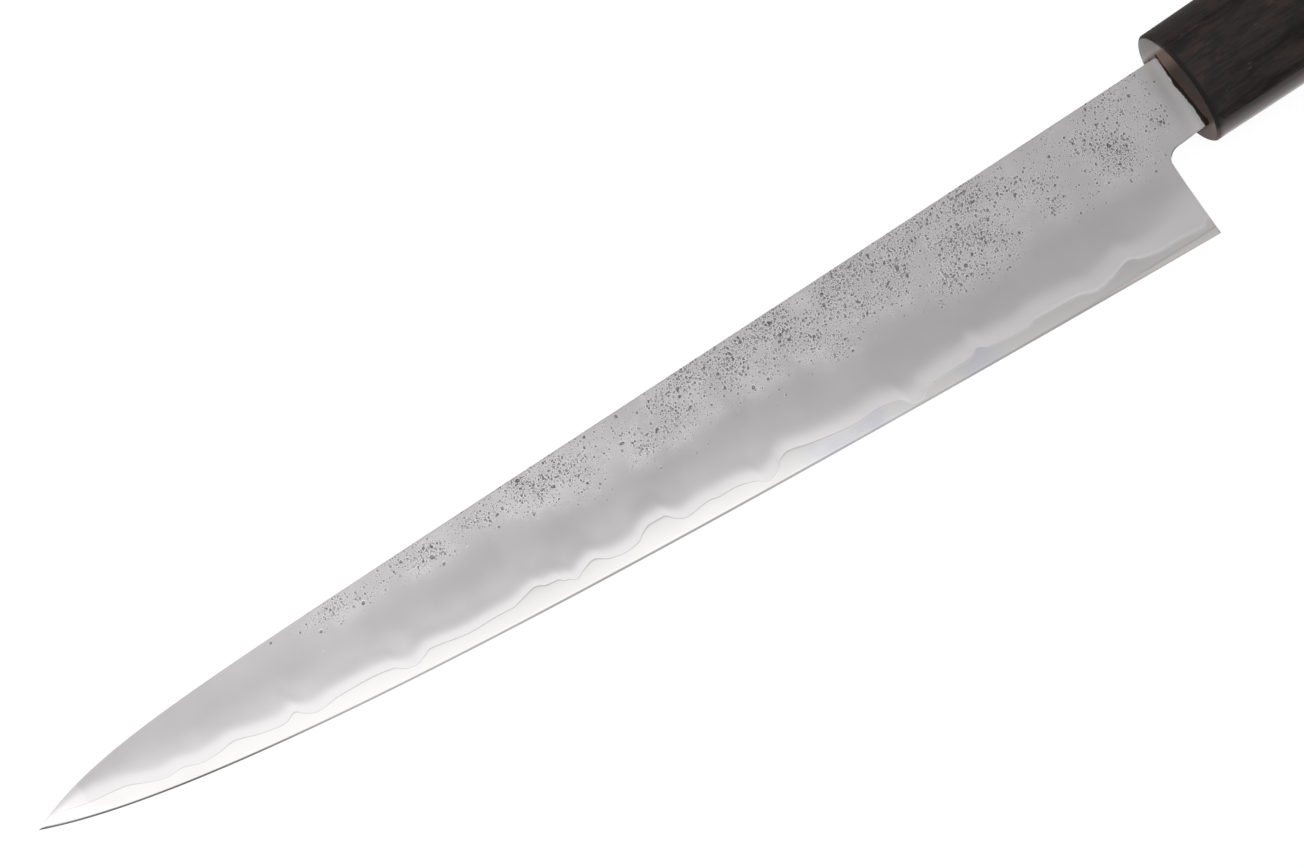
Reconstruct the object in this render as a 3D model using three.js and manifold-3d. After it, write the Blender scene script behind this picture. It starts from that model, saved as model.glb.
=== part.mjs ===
// A sujihiki, the long slicing knife, with a three-layer blade and an oval wooden handle.
// It lies on its side with its left face up: +X to the tip, +Y to the cutting edge, +Z up.
// Sizes are in millimetres. Inside this file x starts at the ferrule's front face and y and z
// start at the handle's axis.
import * as THREE from "three";
import { mergeVertices } from "three/addons/utils/BufferGeometryUtils.js";
import Module from "manifold-3d";

const wasm = await Module();
wasm.setup();
const { clamp, degToRad, lerp, smoothstep } = THREE.MathUtils;

// Blade outline
const bladeLength = 240; // heel to tip, along the spine
const neckLength = 7.6; // ferrule face to heel
const spineHeight = 7.03; // spine above the handle's axis
const heelDepth = 26.3; // heel below the handle's axis
const tipHeight = 0.63; // tip above the handle's axis
const spineStraight = 140.7; // heel to where the spine begins to fall
const spineEasing = 68.5; // how long the spine holds its line once it has begun to fall
const spineNose = 15.3; // how far back from the tip the spine's fall is steepest
const edgeHeelAngle = degToRad(3.06); // edge against the spine at the heel
const edgeHeelReach = 156; // how long the edge holds that angle
const edgeTipAngle = degToRad(22.5); // edge against the spine at the tip
const edgeTipReach = 26.9; // how long the edge holds that angle
const neckDepth = 8.42; // neck's underside below the handle's axis, at the ferrule
const neckSlope = degToRad(3.6); // neck's underside falls this much towards the heel
const choilLean = degToRad(3.3); // the heel lies this much nearer the handle than the notch
const notchRadius = 2.8; // inside corner between neck and choil

// Blade thickness
const spineAtHeel = 2.1;
const spineAtTip = 0.9;
const noseHeight = 7; // below this blade height the thickness runs out to the point
const grindPower = 1.75; // 1 is a flat wedge, more is a rounder belly on each face
const bevelHeight = 0.45; // honed bevel above the edge
const bevelThickness = 0.24; // at the top of the honed bevel
const edgeThickness = 0.06; // left at the very edge
const neckTop = 2.6; // neck thickness at the spine
const neckUnder = 1.6; // and along its underside
const neckFade = 20; // over this length ahead of the heel the neck runs into the blade
const heelFade = 14; // and over this depth below the neck
const spineEase = 0.3; // broken corner along the spine

// Layers: a hard core between two soft cladding plates
const coreAtSpine = 0.8; // core thickness along the spine, at the heel
const tipBare = 3.4; // the point is bare core over this length
const tipSwell = 8; // over this length before it the core grows to the full thickness
// The wavy line where the cladding ends: how far along the blade from the heel, in hundredths,
// and how high above the edge, in millimetres. These are its crests, dips and steps, heel to tip.
const claddingLine = [
  [0, 3.6], [0.8, 2.5], [2.7, 2.8], [4.3, 2.7], [6, 3.35], [6.9, 4.2], [8.7, 2.9], [10.2, 2.25],
  [11.8, 3.15], [15.2, 3.3], [16.4, 2.65], [19.5, 3.2], [20.3, 4.05], [21.1, 3.1], [23.5, 2.75],
  [25.2, 2.1], [25.9, 1], [26.6, 1.1], [27.4, 2.7], [29.1, 3.4], [31, 3], [34.8, 3.9], [36.6, 4.7],
  [37.4, 4.1], [38, 2.4], [39.2, 1.4], [39.8, 2.6], [41.6, 3.55], [42.9, 3.45], [43.6, 3.75],
  [45.8, 3], [46.5, 3.75], [47.2, 5.2], [48.4, 5.15], [49.3, 4.2], [49.9, 3.15], [51.2, 2.65],
  [52.3, 3.05], [53.5, 4.3], [54.5, 3.5], [55.4, 2.5], [55.8, 3.2], [56.2, 3.4], [56.5, 4.05],
  [57.5, 4.25], [58.3, 4.95], [59.3, 4.35], [60.7, 3.4], [61.8, 3.4], [64.3, 3], [67.5, 3.7],
  [68.2, 3], [69.1, 2.1], [69.8, 2.3], [70.7, 3.5], [72.2, 3.8], [75.2, 3.35], [77.4, 2.4],
  [78.2, 3.2], [78.8, 4.15], [79.6, 3.2], [80.2, 2.9], [81.8, 3.15], [83.8, 3.95], [85.2, 3.1],
  [86.7, 2.5], [88.2, 3.05], [89.7, 2.4], [91, 2.85], [92.6, 3.65], [96, 2.8],
];

// Tang, inside the handle
const tangLength = 98; // ferrule face to the tang's end
const neckInset = 4; // the neck keeps its height this far into the ferrule
const tangShoulder = 12; // the tang has narrowed by here
const tangHeight = 10.4; // at the shoulder
const tangEndHeight = 5;
const tangEndThickness = 1.7;

// Handle
const handleLength = 132;
const frontHeight = 23.6;
const frontWidth = 18.7;
const buttHeight = 26.6;
const buttWidth = 21.2;
const handleLean = degToRad(0.6); // the handle rises this much towards the spine, going back
const frontSlant = degToRad(3.3); // the front face is further forward at the spine side
const buttRound = 2; // rounded edge at the butt
const rimEase = 0.5; // broken edge around the ferrule's front face
const ferruleLength = 32;
const tenonLength = 14; // the body's tenon inside the ferrule
const tenonHeight = 17.6;
const tenonWidth = 11.6;
const tenonGap = 0.15; // glue line around the tenon
const mouthGap = 0.12; // ferrule slot above and below the neck
const mouthSide = 0.9; // ferrule slot on each side of the neck
const holeGap = 0.5; // hole in the body above and below the tang
const holeEnd = 6; // hole beyond the tang's end
const beddingSetback = 5; // bedding behind the ferrule's front face
const beddingGap = 0.1; // hair gap between the bedding and its neighbours

const OVAL_STEPS = 48;
const rowSpacing = 3; // furthest apart that two rows of points lie along the blade

const heelX = neckLength;
const tipX = heelX + bladeLength;
const tip = new THREE.Vector2(tipX, -tipHeight);

const spineCurve = new THREE.CubicBezierCurve(
  new THREE.Vector2(heelX + spineStraight, -spineHeight),
  new THREE.Vector2(heelX + spineStraight + spineEasing, -spineHeight),
  new THREE.Vector2(tipX - spineNose, -spineHeight),
  tip,
);
const edgeCurve = new THREE.CubicBezierCurve(
  new THREE.Vector2(heelX, heelDepth),
  new THREE.Vector2(
    heelX + edgeHeelReach * Math.cos(edgeHeelAngle),
    heelDepth - edgeHeelReach * Math.sin(edgeHeelAngle),
  ),
  new THREE.Vector2(
    tip.x - edgeTipReach * Math.cos(edgeTipAngle),
    tip.y + edgeTipReach * Math.sin(edgeTipAngle),
  ),
  tip,
);

// The y of a curve that runs steadily along x.
function yAt(curve, x) {
  let low = 0;
  let high = 1;
  for (let step = 0; step < 50; step++) {
    const middle = (low + high) / 2;
    if (curve.getPoint(middle).x < x) low = middle;
    else high = middle;
  }
  return curve.getPoint((low + high) / 2).y;
}

function spineAt(x) {
  return x <= spineCurve.v0.x ? -spineHeight : yAt(spineCurve, Math.min(x, tipX));
}

function edgeAt(x) {
  return x <= heelX ? heelDepth : yAt(edgeCurve, Math.min(x, tipX));
}

function neckUnderAt(x) {
  return neckDepth + Math.tan(neckSlope) * x;
}

function choilAt(y) {
  return heelX + (heelDepth - y) * Math.tan(choilLean);
}

function alongBlade(x) {
  return clamp((x - heelX) / bladeLength, 0, 1);
}

// Half the thickness of the ground blade along its spine: thinner towards the tip, and running
// out over the last stretch.
function spineHalf(x) {
  const height = Math.max(edgeAt(x) - spineAt(x), 0);
  const taper = lerp(spineAtHeel, spineAtTip, alongBlade(x)) / 2;
  return taper * Math.sqrt(Math.min(1, height / noseHeight));
}

// Half the thickness of the convex grind, from the honed bevel up to the spine.
function grindHalf(x, y) {
  const height = Math.max(edgeAt(x) - spineAt(x), 1e-9);
  const above = clamp(edgeAt(x) - y, 0, height);
  const top = spineHalf(x);
  const bevel = Math.min(bevelHeight, height / 3);
  const shoulder = Math.min(bevelThickness / 2, top * 0.6);
  const thinnest = Math.min(edgeThickness / 2, top * 0.3);
  if (above < bevel) return lerp(thinnest, shoulder, above / bevel);
  const rise = (above - bevel) / (height - bevel);
  return shoulder + (top - shoulder) * (1 - (1 - rise) ** grindPower);
}

// Half the thickness of the neck and tang, which are a plain bar.
function barHalf(x, y) {
  const down = clamp((y + spineHeight) / (spineHeight + neckDepth), 0, 1);
  const neck = lerp(neckTop, neckUnder, down) / 2;
  const inside = clamp(-x / tangLength, 0, 1);
  return lerp(neck, tangEndThickness / 2, inside);
}

// Half the thickness of the whole blade at a point of its face.
function faceHalf(x, y) {
  const byLength = 1 - smoothstep(x, heelX - notchRadius, heelX + neckFade);
  const byDepth = 1 - smoothstep(y, neckUnderAt(heelX), neckUnderAt(heelX) + heelFade);
  return lerp(grindHalf(x, y), barHalf(x, y), byLength * byDepth);
}

// Slope of the cladding line at one of its points: level at a crest, a dip and either end.
function lineSlope(points, i) {
  if (i === 0 || i === points.length - 1) return 0;
  const [[place0, height0], [place1, height1], [place2, height2]] = points.slice(i - 1, i + 2);
  const before = (height1 - height0) / (place1 - place0);
  const after = (height2 - height1) / (place2 - place1);
  return before * after > 0 ? (2 * before * after) / (before + after) : 0;
}

// Height of the cladding line above the edge, on a smooth curve through its points.
function lineHeight(x) {
  const height = edgeAt(x) - spineAt(x);
  const bareX = tipX - tipBare;
  const barePlace = alongBlade(bareX) * 100;
  const place = alongBlade(x) * 100;
  if (place >= barePlace) return height;
  const points = [...claddingLine, [barePlace, edgeAt(bareX) - spineAt(bareX)]];
  const next = points.findIndex(([point]) => point > place);
  const [place0, height0] = points[next - 1];
  const [place1, height1] = points[next];
  const run = place1 - place0;
  const share = (place - place0) / run;
  const left = 1 - share;
  const bow = left * lineSlope(points, next - 1) - share * lineSlope(points, next);
  const line = lerp(height0, height1, smoothstep(share, 0, 1)) + run * share * left * bow;
  return Math.min(line, height);
}

// Half the thickness of the core, from the cladding line up to the spine.
function coreHalf(x, y) {
  const height = edgeAt(x) - spineAt(x);
  const line = lineHeight(x);
  const lineHalf = grindHalf(x, edgeAt(x) - line);
  const bareX = tipX - tipBare;
  const swell = smoothstep(x, bareX - tipSwell, bareX);
  const share = lerp(coreAtSpine / spineAtHeel, 1, swell);
  const rise = clamp((edgeAt(x) - y - line) / Math.max(height - line, 1e-9), 0, 1);
  return lerp(lineHalf, spineHalf(x) * share, rise);
}

// Points along an arc that rounds the corner between two straight runs.
function roundedCorner(corner, along0, along1, radius, steps) {
  const half = Math.acos(clamp(along0.dot(along1), -1, 1)) / 2;
  const reach = radius / Math.tan(half);
  const bisector = along0.clone().add(along1).normalize();
  const centre = corner.clone().addScaledVector(bisector, radius / Math.sin(half));
  const from = corner.clone().addScaledVector(along0, reach).sub(centre);
  const to = corner.clone().addScaledVector(along1, reach).sub(centre);
  const turn = from.angleTo(to) * Math.sign(from.cross(to));
  const points = [];
  for (let step = 0; step <= steps; step++)
    points.push(from.clone().rotateAround(new THREE.Vector2(), (turn * step) / steps).add(centre));
  return points;
}

// The blade is drawn in rows from its lower outline (foot) up to its spine (crown), one after
// another from the tang's end to the tip. Round the notch the feet go down the choil while the
// crowns move on along the spine, so the rows fan out and never cross.
function bladeRows() {
  const rows = [];
  const row = (x, y, crownX, crownY) =>
    rows.push({ foot: new THREE.Vector2(x, y), crown: new THREE.Vector2(crownX, crownY) });

  row(-tangLength, tangEndHeight / 2, -tangLength, -tangEndHeight / 2);
  row(-tangShoulder, tangHeight / 2, -tangShoulder, -tangHeight / 2);
  row(-neckInset, neckUnderAt(-neckInset), -neckInset, -spineHeight);

  const cornerX = choilAt(neckUnderAt(heelX));
  const corner = new THREE.Vector2(cornerX, neckUnderAt(cornerX));
  const toHandle = new THREE.Vector2(-Math.cos(neckSlope), -Math.sin(neckSlope));
  const toHeel = new THREE.Vector2(-Math.sin(choilLean), Math.cos(choilLean));
  const notch = roundedCorner(corner, toHandle, toHeel, notchRadius, 5);
  const choilTop = notch[notch.length - 1];
  const lineY = heelDepth - lineHeight(heelX);
  const choil = [
    lerp(choilTop.y, lineY, 1 / 3),
    lerp(choilTop.y, lineY, 2 / 3),
    lineY,
    lerp(lineY, heelDepth, 0.6),
    heelDepth,
  ].map((y) => new THREE.Vector2(choilAt(y), y));
  const heelFan = notchRadius * 2;
  const turning = [...notch, ...choil];
  turning.forEach((foot, i) => {
    const crownX = lerp(notch[0].x, heelX + heelFan, i / (turning.length - 1));
    row(foot.x, foot.y, crownX, -spineHeight);
  });

  const bareFrom = 1 - tipBare / bladeLength;
  const places = claddingLine.map(([place]) => place / 100);
  places.push(bareFrom);
  for (let i = 0; i + 1 < places.length; i++) {
    const count = Math.ceil(((places[i + 1] - places[i]) * bladeLength) / rowSpacing);
    for (let step = 1; step <= count; step++) rowAt(lerp(places[i], places[i + 1], step / count));
  }
  rowAt(lerp(bareFrom, 1, 0.6));
  rowAt(1);

  function rowAt(place) {
    const x = heelX + place * bladeLength;
    const lean = heelFan * Math.max(0, 1 - (x - heelX) / (neckFade * 2));
    row(x, edgeAt(x), x + lean, spineAt(x + lean));
  }
  return rows;
}

// Everything that one row needs: the bare core from the foot to the cladding line, the joint
// face between core and cladding, and the cladding's outer face, all on the +Z side.
function dressRow({ foot, crown }) {
  const tall = foot.y - crown.y;
  const footAbove = edgeAt(foot.x) - foot.y;
  const bare = tall > 1e-6 ? clamp((lineHeight(foot.x) - footAbove) / tall, 0, 1) : 1;
  const at = (share, halfOf) => {
    const x = lerp(foot.x, crown.x, share);
    const y = lerp(foot.y, crown.y, share);
    return new THREE.Vector3(x, y, halfOf(x, y));
  };
  const linePoint = at(bare, bare > 0 ? faceHalf : coreHalf);
  const bevel = tall > 1e-6 ? Math.min(bevelHeight / tall, bare / 3) : 0;
  const bareFace = [0, bevel, (bevel + bare) / 2].map((share) =>
    bare > 0 ? at(share, faceHalf) : linePoint,
  );
  const up = (share) => lerp(bare, 1, share);
  const joint = [linePoint, ...[1 / 3, 2 / 3, 1].map((share) => at(up(share), coreHalf))];
  if (bare >= 1) joint.fill(linePoint);
  const top = joint[joint.length - 1];
  const skin = at(1, faceHalf).z - top.z;
  const ease = Math.min(spineEase, Math.max(skin, 0) * 0.4);
  const easeShare = tall > 1e-6 ? Math.min(ease / tall, (1 - bare) / 8) : 0;
  const crownOut = new THREE.Vector3(top.x, top.y, top.z + skin - ease);
  const outer = [crownOut, at(1 - easeShare, faceHalf)];
  for (const share of [0.74, 0.48, 0.24, 0.1]) outer.push(at(up(share), faceHalf));
  outer.push(bare > 0 ? linePoint : at(0, faceHalf));
  if (bare >= 1) outer.fill(linePoint);
  return { bare, bareFace, joint, outer };
}

const flipped = (points) => points.map((p) => new THREE.Vector3(p.x, p.y, -p.z));

function coreRing({ bareFace, joint }) {
  const side = [...bareFace, ...joint];
  return [...side, ...flipped(side).reverse()];
}

function leftRing({ joint, outer }) {
  return [...joint, ...outer];
}

function rightRing({ joint, outer }) {
  return [...flipped(joint).reverse(), ...flipped(outer).reverse()];
}

// A closed skin over a run of rings with equal point counts. Points that fall together are
// joined, so a ring may narrow to a corner or a single point. Each four-sided patch is split
// along the same diagonal, so two pieces that share a face share its triangles.
function loft(rings) {
  const positions = [];
  const known = new Map();
  const vertex = (p) => {
    const key = [p.x, p.y, p.z].map((v) => Math.round(v * 1e5)).join(" ");
    if (!known.has(key)) {
      known.set(key, positions.length / 3);
      positions.push(p.x, p.y, p.z);
    }
    return known.get(key);
  };
  const faces = [];
  const face = (a, b, c) => {
    if (a !== b && b !== c && c !== a) faces.push([a, b, c]);
  };
  const index = rings.map((ring) => ring.map(vertex));
  const count = rings[0].length;
  for (let i = 0; i + 1 < rings.length; i++) {
    for (let j = 0; j < count; j++) {
      const k = (j + 1) % count;
      face(index[i][j], index[i + 1][j], index[i + 1][k]);
      face(index[i][j], index[i + 1][k], index[i][k]);
    }
  }
  const cap = (ring, corners, closing) => {
    if (new Set(corners).size < 3) return;
    const middle = ring.reduce((sum, p) => sum.add(p), new THREE.Vector3());
    const hub = vertex(middle.divideScalar(ring.length));
    corners.forEach((corner, j) => {
      const next = corners[(j + 1) % count];
      if (closing) face(hub, next, corner);
      else face(hub, corner, next);
    });
  };
  cap(rings[0], index[0], false);
  cap(rings[rings.length - 1], index[rings.length - 1], true);

  const point = (n) => new THREE.Vector3().fromArray(positions, n * 3);
  const volume = faces.reduce(
    (sum, [a, b, c]) => sum + point(a).dot(point(b).cross(point(c))),
    0,
  );
  const outward = volume < 0 ? faces.map(([a, b, c]) => [a, c, b]) : faces;
  const geometry = new THREE.BufferGeometry();
  geometry.setAttribute("position", new THREE.Float32BufferAttribute(positions, 3));
  geometry.setIndex(outward.flat());
  return geometry;
}

function solidOf(geometry) {
  const bare = new THREE.BufferGeometry();
  bare.setAttribute("position", geometry.getAttribute("position"));
  bare.setIndex(geometry.index);
  const merged = mergeVertices(bare, 1e-4);
  return new wasm.Manifold(
    new wasm.Mesh({
      numProp: 3,
      vertProperties: merged.getAttribute("position").array,
      triVerts: new Uint32Array(merged.index.array),
    }),
  );
}

function geometryOf(solid) {
  const mesh = solid.getMesh();
  const geometry = new THREE.BufferGeometry();
  geometry.setAttribute("position", new THREE.BufferAttribute(mesh.vertProperties, mesh.numProp));
  geometry.setIndex(new THREE.BufferAttribute(mesh.triVerts, 1));
  return geometry;
}

// An upright oval across the handle, with its long axis along y.
function oval(x, height, width, middleY = 0, slant = 0) {
  const points = [];
  for (let step = 0; step < OVAL_STEPS; step++) {
    const turn = (2 * Math.PI * step) / OVAL_STEPS;
    const y = middleY + (height / 2) * Math.cos(turn);
    const z = (width / 2) * Math.sin(turn);
    points.push(new THREE.Vector3(x - y * Math.tan(slant), y, z));
  }
  return points;
}

// The handle's own oval, which widens evenly from the ferrule's front to the butt.
function handleOval(x, inset, slant = 0) {
  const back = -x / handleLength;
  const height = lerp(frontHeight, buttHeight, back) - 2 * inset;
  const width = lerp(frontWidth, buttWidth, back) - 2 * inset;
  return oval(x, height, width, x * Math.tan(handleLean), slant);
}

// A block along the handle's axis, from one x back to another, centred on middleY.
function block(front, back, height, width, middleY) {
  const box = new THREE.BoxGeometry(front - back, height, width);
  return box.translate((front + back) / 2, middleY, 0);
}

const tenonFront = -(ferruleLength - tenonLength);
const mouthHeight = spineHeight + neckDepth + 2 * mouthGap;
const mouthMiddle = (neckDepth - spineHeight) / 2;
const mouthWidth = neckTop + 2 * mouthSide;
const holeHeight = tangHeight + 2 * holeGap;
const holeBack = -(tangLength + holeEnd);

function makeFerrule() {
  const outside = loft([
    handleOval(0, rimEase, frontSlant),
    handleOval(-rimEase, 0, frontSlant),
    handleOval(-ferruleLength, 0),
  ]);
  const past = 1 + frontHeight * Math.tan(frontSlant);
  const mouth = block(past, tenonFront - past, mouthHeight, mouthWidth, mouthMiddle);
  const socketHeight = tenonHeight + 2 * tenonGap;
  const socketWidth = tenonWidth + 2 * tenonGap;
  const socket = loft([
    oval(tenonFront + tenonGap, socketHeight, socketWidth),
    oval(-ferruleLength - past, socketHeight, socketWidth),
  ]);
  return geometryOf(solidOf(outside).subtract(solidOf(mouth)).subtract(solidOf(socket)));
}

function makeBody() {
  const rings = [
    oval(tenonFront, tenonHeight, tenonWidth),
    oval(-ferruleLength, tenonHeight, tenonWidth),
    handleOval(-ferruleLength, 0),
  ];
  for (const turn of [0, 30, 60, 90].map(degToRad)) {
    const x = -handleLength + buttRound * (1 - Math.sin(turn));
    rings.push(handleOval(x, buttRound * (1 - Math.cos(turn))));
  }
  const past = 1;
  const hole = block(tenonFront + past, holeBack, holeHeight, mouthWidth, 0);
  return geometryOf(solidOf(loft(rings)).subtract(solidOf(hole)));
}

// Resin cast around the tang: it fills the ferrule's slot and the body's hole.
function makeBedding() {
  const slim = 2 * beddingGap;
  const join = 1;
  const front = block(
    -beddingSetback,
    tenonFront + tenonGap,
    mouthHeight - slim,
    mouthWidth - slim,
    mouthMiddle,
  );
  const back = block(
    tenonFront + join,
    holeBack + beddingGap,
    holeHeight - slim,
    mouthWidth - slim,
    0,
  );
  const around = (x, top, under) => {
    const half = barHalf(x, top) + beddingGap;
    const high = top - beddingGap;
    const low = under + beddingGap;
    return [
      new THREE.Vector3(x, high, half),
      new THREE.Vector3(x, low, half),
      new THREE.Vector3(x, low, -half),
      new THREE.Vector3(x, high, -half),
    ];
  };
  const tangRoom = loft([
    around(-tangLength - beddingGap, -tangEndHeight / 2, tangEndHeight / 2),
    around(-tangShoulder, -tangHeight / 2, tangHeight / 2),
    around(-neckInset, -spineHeight, neckUnderAt(-neckInset)),
    around(0, -spineHeight, neckDepth),
  ]);
  return geometryOf(solidOf(front).add(solidOf(back)).subtract(solidOf(tangRoom)));
}

const rows = bladeRows().map(dressRow);
const clad = rows.slice(0, rows.findIndex(({ bare }) => bare >= 1) + 1);

const coreSteel = new THREE.MeshStandardMaterial({
  color: 0xb4b8bc,
  roughness: 0.22,
  metalness: 1,
});
const softSteel = new THREE.MeshStandardMaterial({
  color: 0xa3a4a6,
  roughness: 0.42,
  metalness: 1,
});
const ferruleWood = new THREE.MeshStandardMaterial({
  color: 0x2a211d,
  roughness: 0.5,
  metalness: 0,
});
const bodyWood = new THREE.MeshStandardMaterial({
  color: 0x35261f,
  roughness: 0.52,
  metalness: 0,
});
const resin = new THREE.MeshStandardMaterial({
  color: 0x6f5c3f,
  roughness: 0.6,
  metalness: 0,
});

const knife = new THREE.Group();
knife.name = "sujihiki_knife";
function addPiece(name, geometry, material) {
  geometry.computeVertexNormals();
  const mesh = new THREE.Mesh(geometry, material);
  mesh.name = name;
  knife.add(mesh);
}
addPiece("core_steel", loft(rows.map(coreRing)), coreSteel);
addPiece("left_cladding", loft(clad.map(leftRing)), softSteel);
addPiece("right_cladding", loft(clad.map(rightRing)), softSteel);
addPiece("ferrule", makeFerrule(), ferruleWood);
addPiece("handle_body", makeBody(), bodyWood);
addPiece("tang_bedding", makeBedding(), resin);

// The finished part stands over its own origin: the middle of its length and height, and the
// underside of the handle.
const box = new THREE.Box3().setFromObject(knife);
const middle = box.getCenter(new THREE.Vector3());
knife.position.set(-middle.x, -middle.y, -box.min.z);

export default knife;
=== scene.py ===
import math

import bmesh
import bpy
import numpy as np
from bpy.props import FloatProperty, FloatVectorProperty, IntProperty, PointerProperty
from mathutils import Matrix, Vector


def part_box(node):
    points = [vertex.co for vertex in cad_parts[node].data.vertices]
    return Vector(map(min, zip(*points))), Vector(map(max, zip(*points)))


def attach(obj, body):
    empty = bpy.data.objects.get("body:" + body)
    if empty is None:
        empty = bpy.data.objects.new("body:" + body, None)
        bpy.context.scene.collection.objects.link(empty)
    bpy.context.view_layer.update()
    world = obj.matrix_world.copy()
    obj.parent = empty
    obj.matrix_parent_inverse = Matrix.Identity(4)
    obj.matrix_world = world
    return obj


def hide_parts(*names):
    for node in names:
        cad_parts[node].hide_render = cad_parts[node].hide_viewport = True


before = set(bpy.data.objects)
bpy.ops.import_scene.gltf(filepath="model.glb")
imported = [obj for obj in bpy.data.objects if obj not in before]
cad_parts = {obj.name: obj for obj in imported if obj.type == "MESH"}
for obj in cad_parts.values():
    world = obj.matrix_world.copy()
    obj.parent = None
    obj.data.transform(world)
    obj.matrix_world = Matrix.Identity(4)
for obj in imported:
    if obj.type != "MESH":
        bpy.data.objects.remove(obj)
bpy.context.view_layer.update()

bl_info = {
    "name": "Sujihiki knife",
    "version": (1, 0, 0),
    "blender": (4, 5, 0),
    "location": "View3D > Sidebar > Knife",
    "description": "Dresses a slicing knife with a three-layer blade and an oval wooden handle",
    "category": "Object",
}

MM = 0.001

# The wavy line where the cladding ends: how far along the blade from the heel, in hundredths,
# and how high above the edge, in millimetres. These are its crests, dips and steps, heel to tip.
CLADDING_LINE = (
    (0, 3.6), (0.8, 2.5), (2.7, 2.8), (4.3, 2.7), (6, 3.35), (6.9, 4.2), (8.7, 2.9), (10.2, 2.25),
    (11.8, 3.15), (15.2, 3.3), (16.4, 2.65), (19.5, 3.2), (20.3, 4.05), (21.1, 3.1), (23.5, 2.75),
    (25.2, 2.1), (25.9, 1), (26.6, 1.1), (27.4, 2.7), (29.1, 3.4), (31, 3), (34.8, 3.9), (36.6, 4.7),
    (37.4, 4.1), (38, 2.4), (39.2, 1.4), (39.8, 2.6), (41.6, 3.55), (42.9, 3.45), (43.6, 3.75),
    (45.8, 3), (46.5, 3.75), (47.2, 5.2), (48.4, 5.15), (49.3, 4.2), (49.9, 3.15), (51.2, 2.65),
    (52.3, 3.05), (53.5, 4.3), (54.5, 3.5), (55.4, 2.5), (55.8, 3.2), (56.2, 3.4), (56.5, 4.05),
    (57.5, 4.25), (58.3, 4.95), (59.3, 4.35), (60.7, 3.4), (61.8, 3.4), (64.3, 3), (67.5, 3.7),
    (68.2, 3), (69.1, 2.1), (69.8, 2.3), (70.7, 3.5), (72.2, 3.8), (75.2, 3.35), (77.4, 2.4),
    (78.2, 3.2), (78.8, 4.15), (79.6, 3.2), (80.2, 2.9), (81.8, 3.15), (83.8, 3.95), (85.2, 3.1),
    (86.7, 2.5), (88.2, 3.05), (89.7, 2.4), (91, 2.85), (92.6, 3.65), (96, 2.8),
)

# How deep below the spine the forged, pitted skin reaches: millimetres from the ferrule's face,
# millimetres of depth.
PITTED_BAND = (
    (0, 10), (8, 13), (20, 15), (80, 14.5), (110, 12), (140, 10), (165, 6.5), (186, 4.5), (205, 1),
)

# Patches where the pits crowd together on the left face: millimetres from the ferrule's face,
# millimetres below the spine, reach in millimetres, number of pits.
PIT_PATCHES = (
    (6, 10, 1.5, 16), (10.5, 4, 2.2, 16), (15, 12, 2.6, 46), (17.5, 8.3, 2.6, 44), (16, 1.2, 1.8, 16),
    (23, 5, 2.4, 14), (25, 15, 1.6, 4), (30.5, 12.6, 1.4, 16), (30, 8, 1.8, 12), (35.5, 5.3, 2.2, 24),
    (41.5, 13, 2.2, 30), (43, 2.4, 2.6, 72), (45.5, 9.5, 2.4, 56), (51, 8.2, 2.4, 38),
    (53.5, 13.4, 2.0, 34), (48, 14.6, 1.6, 14), (51.5, 1.6, 2.2, 22), (57.5, 3.2, 2.6, 48),
    (60.5, 6.8, 1.6, 22), (63.5, 9.6, 2.2, 28), (67.5, 2.6, 2.8, 84), (73, 1.6, 2.0, 34),
    (70, 8.6, 2.0, 24), (75.5, 5.4, 2.4, 42), (77, 12.6, 1.7, 20), (80.5, 9.4, 1.8, 16),
    (84, 5.8, 2.2, 40), (85, 1.8, 2.0, 52), (91, 2, 2.0, 24), (90, 9, 2.2, 16), (92.5, 4.6, 2.2, 22),
    (97.5, 5.8, 2.4, 40), (97, 1.5, 2.2, 36), (104, 1.4, 2.2, 42), (108.5, 6.3, 2.6, 44),
    (110, 2, 1.8, 14), (116.5, 8, 1.8, 22), (119.5, 3.4, 1.8, 6), (127, 1.5, 2.4, 10),
    (130, 6, 2.4, 30), (133, 1.8, 2.2, 24), (138, 4.4, 2.0, 22), (140, 1.4, 1.6, 20),
    (146, 2.6, 2.2, 20), (151.5, 2.2, 1.5, 10), (159, 3.6, 1.6, 16), (163.5, 2, 2.0, 24),
    (171, 2.6, 1.4, 6), (176, 2.6, 1.5, 10), (181, 2, 1.9, 20),
)

# The largest single pits on the left face: millimetres from the ferrule's face, millimetres
# below the spine, radius in millimetres.
LARGE_PITS = (
    (16.3, 8.8, 0.42), (26.5, 4.5, 0.34), (33.1, 5.1, 0.3), (38, 5, 0.3), (44.6, 11.3, 0.34),
    (49.9, 12.8, 0.42), (59.9, 8.5, 0.38), (60.6, 6.2, 0.42), (84.2, 6.4, 0.4), (85.5, 2.1, 0.38),
    (94.4, 10.2, 0.4), (98.5, 4.6, 0.36), (106.1, 2.9, 0.38), (113.2, 6.9, 0.34), (118.2, 0.9, 0.36),
    (120, 5.6, 0.42), (134.8, 5.3, 0.4), (139.6, 0.9, 0.42), (159.1, 6.2, 0.34), (160.3, 4, 0.4),
    (165.5, 1.6, 0.32), (175.3, 4.1, 0.38), (193.4, 0.9, 0.26),
)

# How far the swelling above the cladding line reaches, against its usual reach: millimetres from
# the ferrule's face, share.
RUB_REACH = ((95, 1), (145, 0.7), (172, 0.72), (195, 0.8), (220, 0.76), (235, 0.68))

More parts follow.
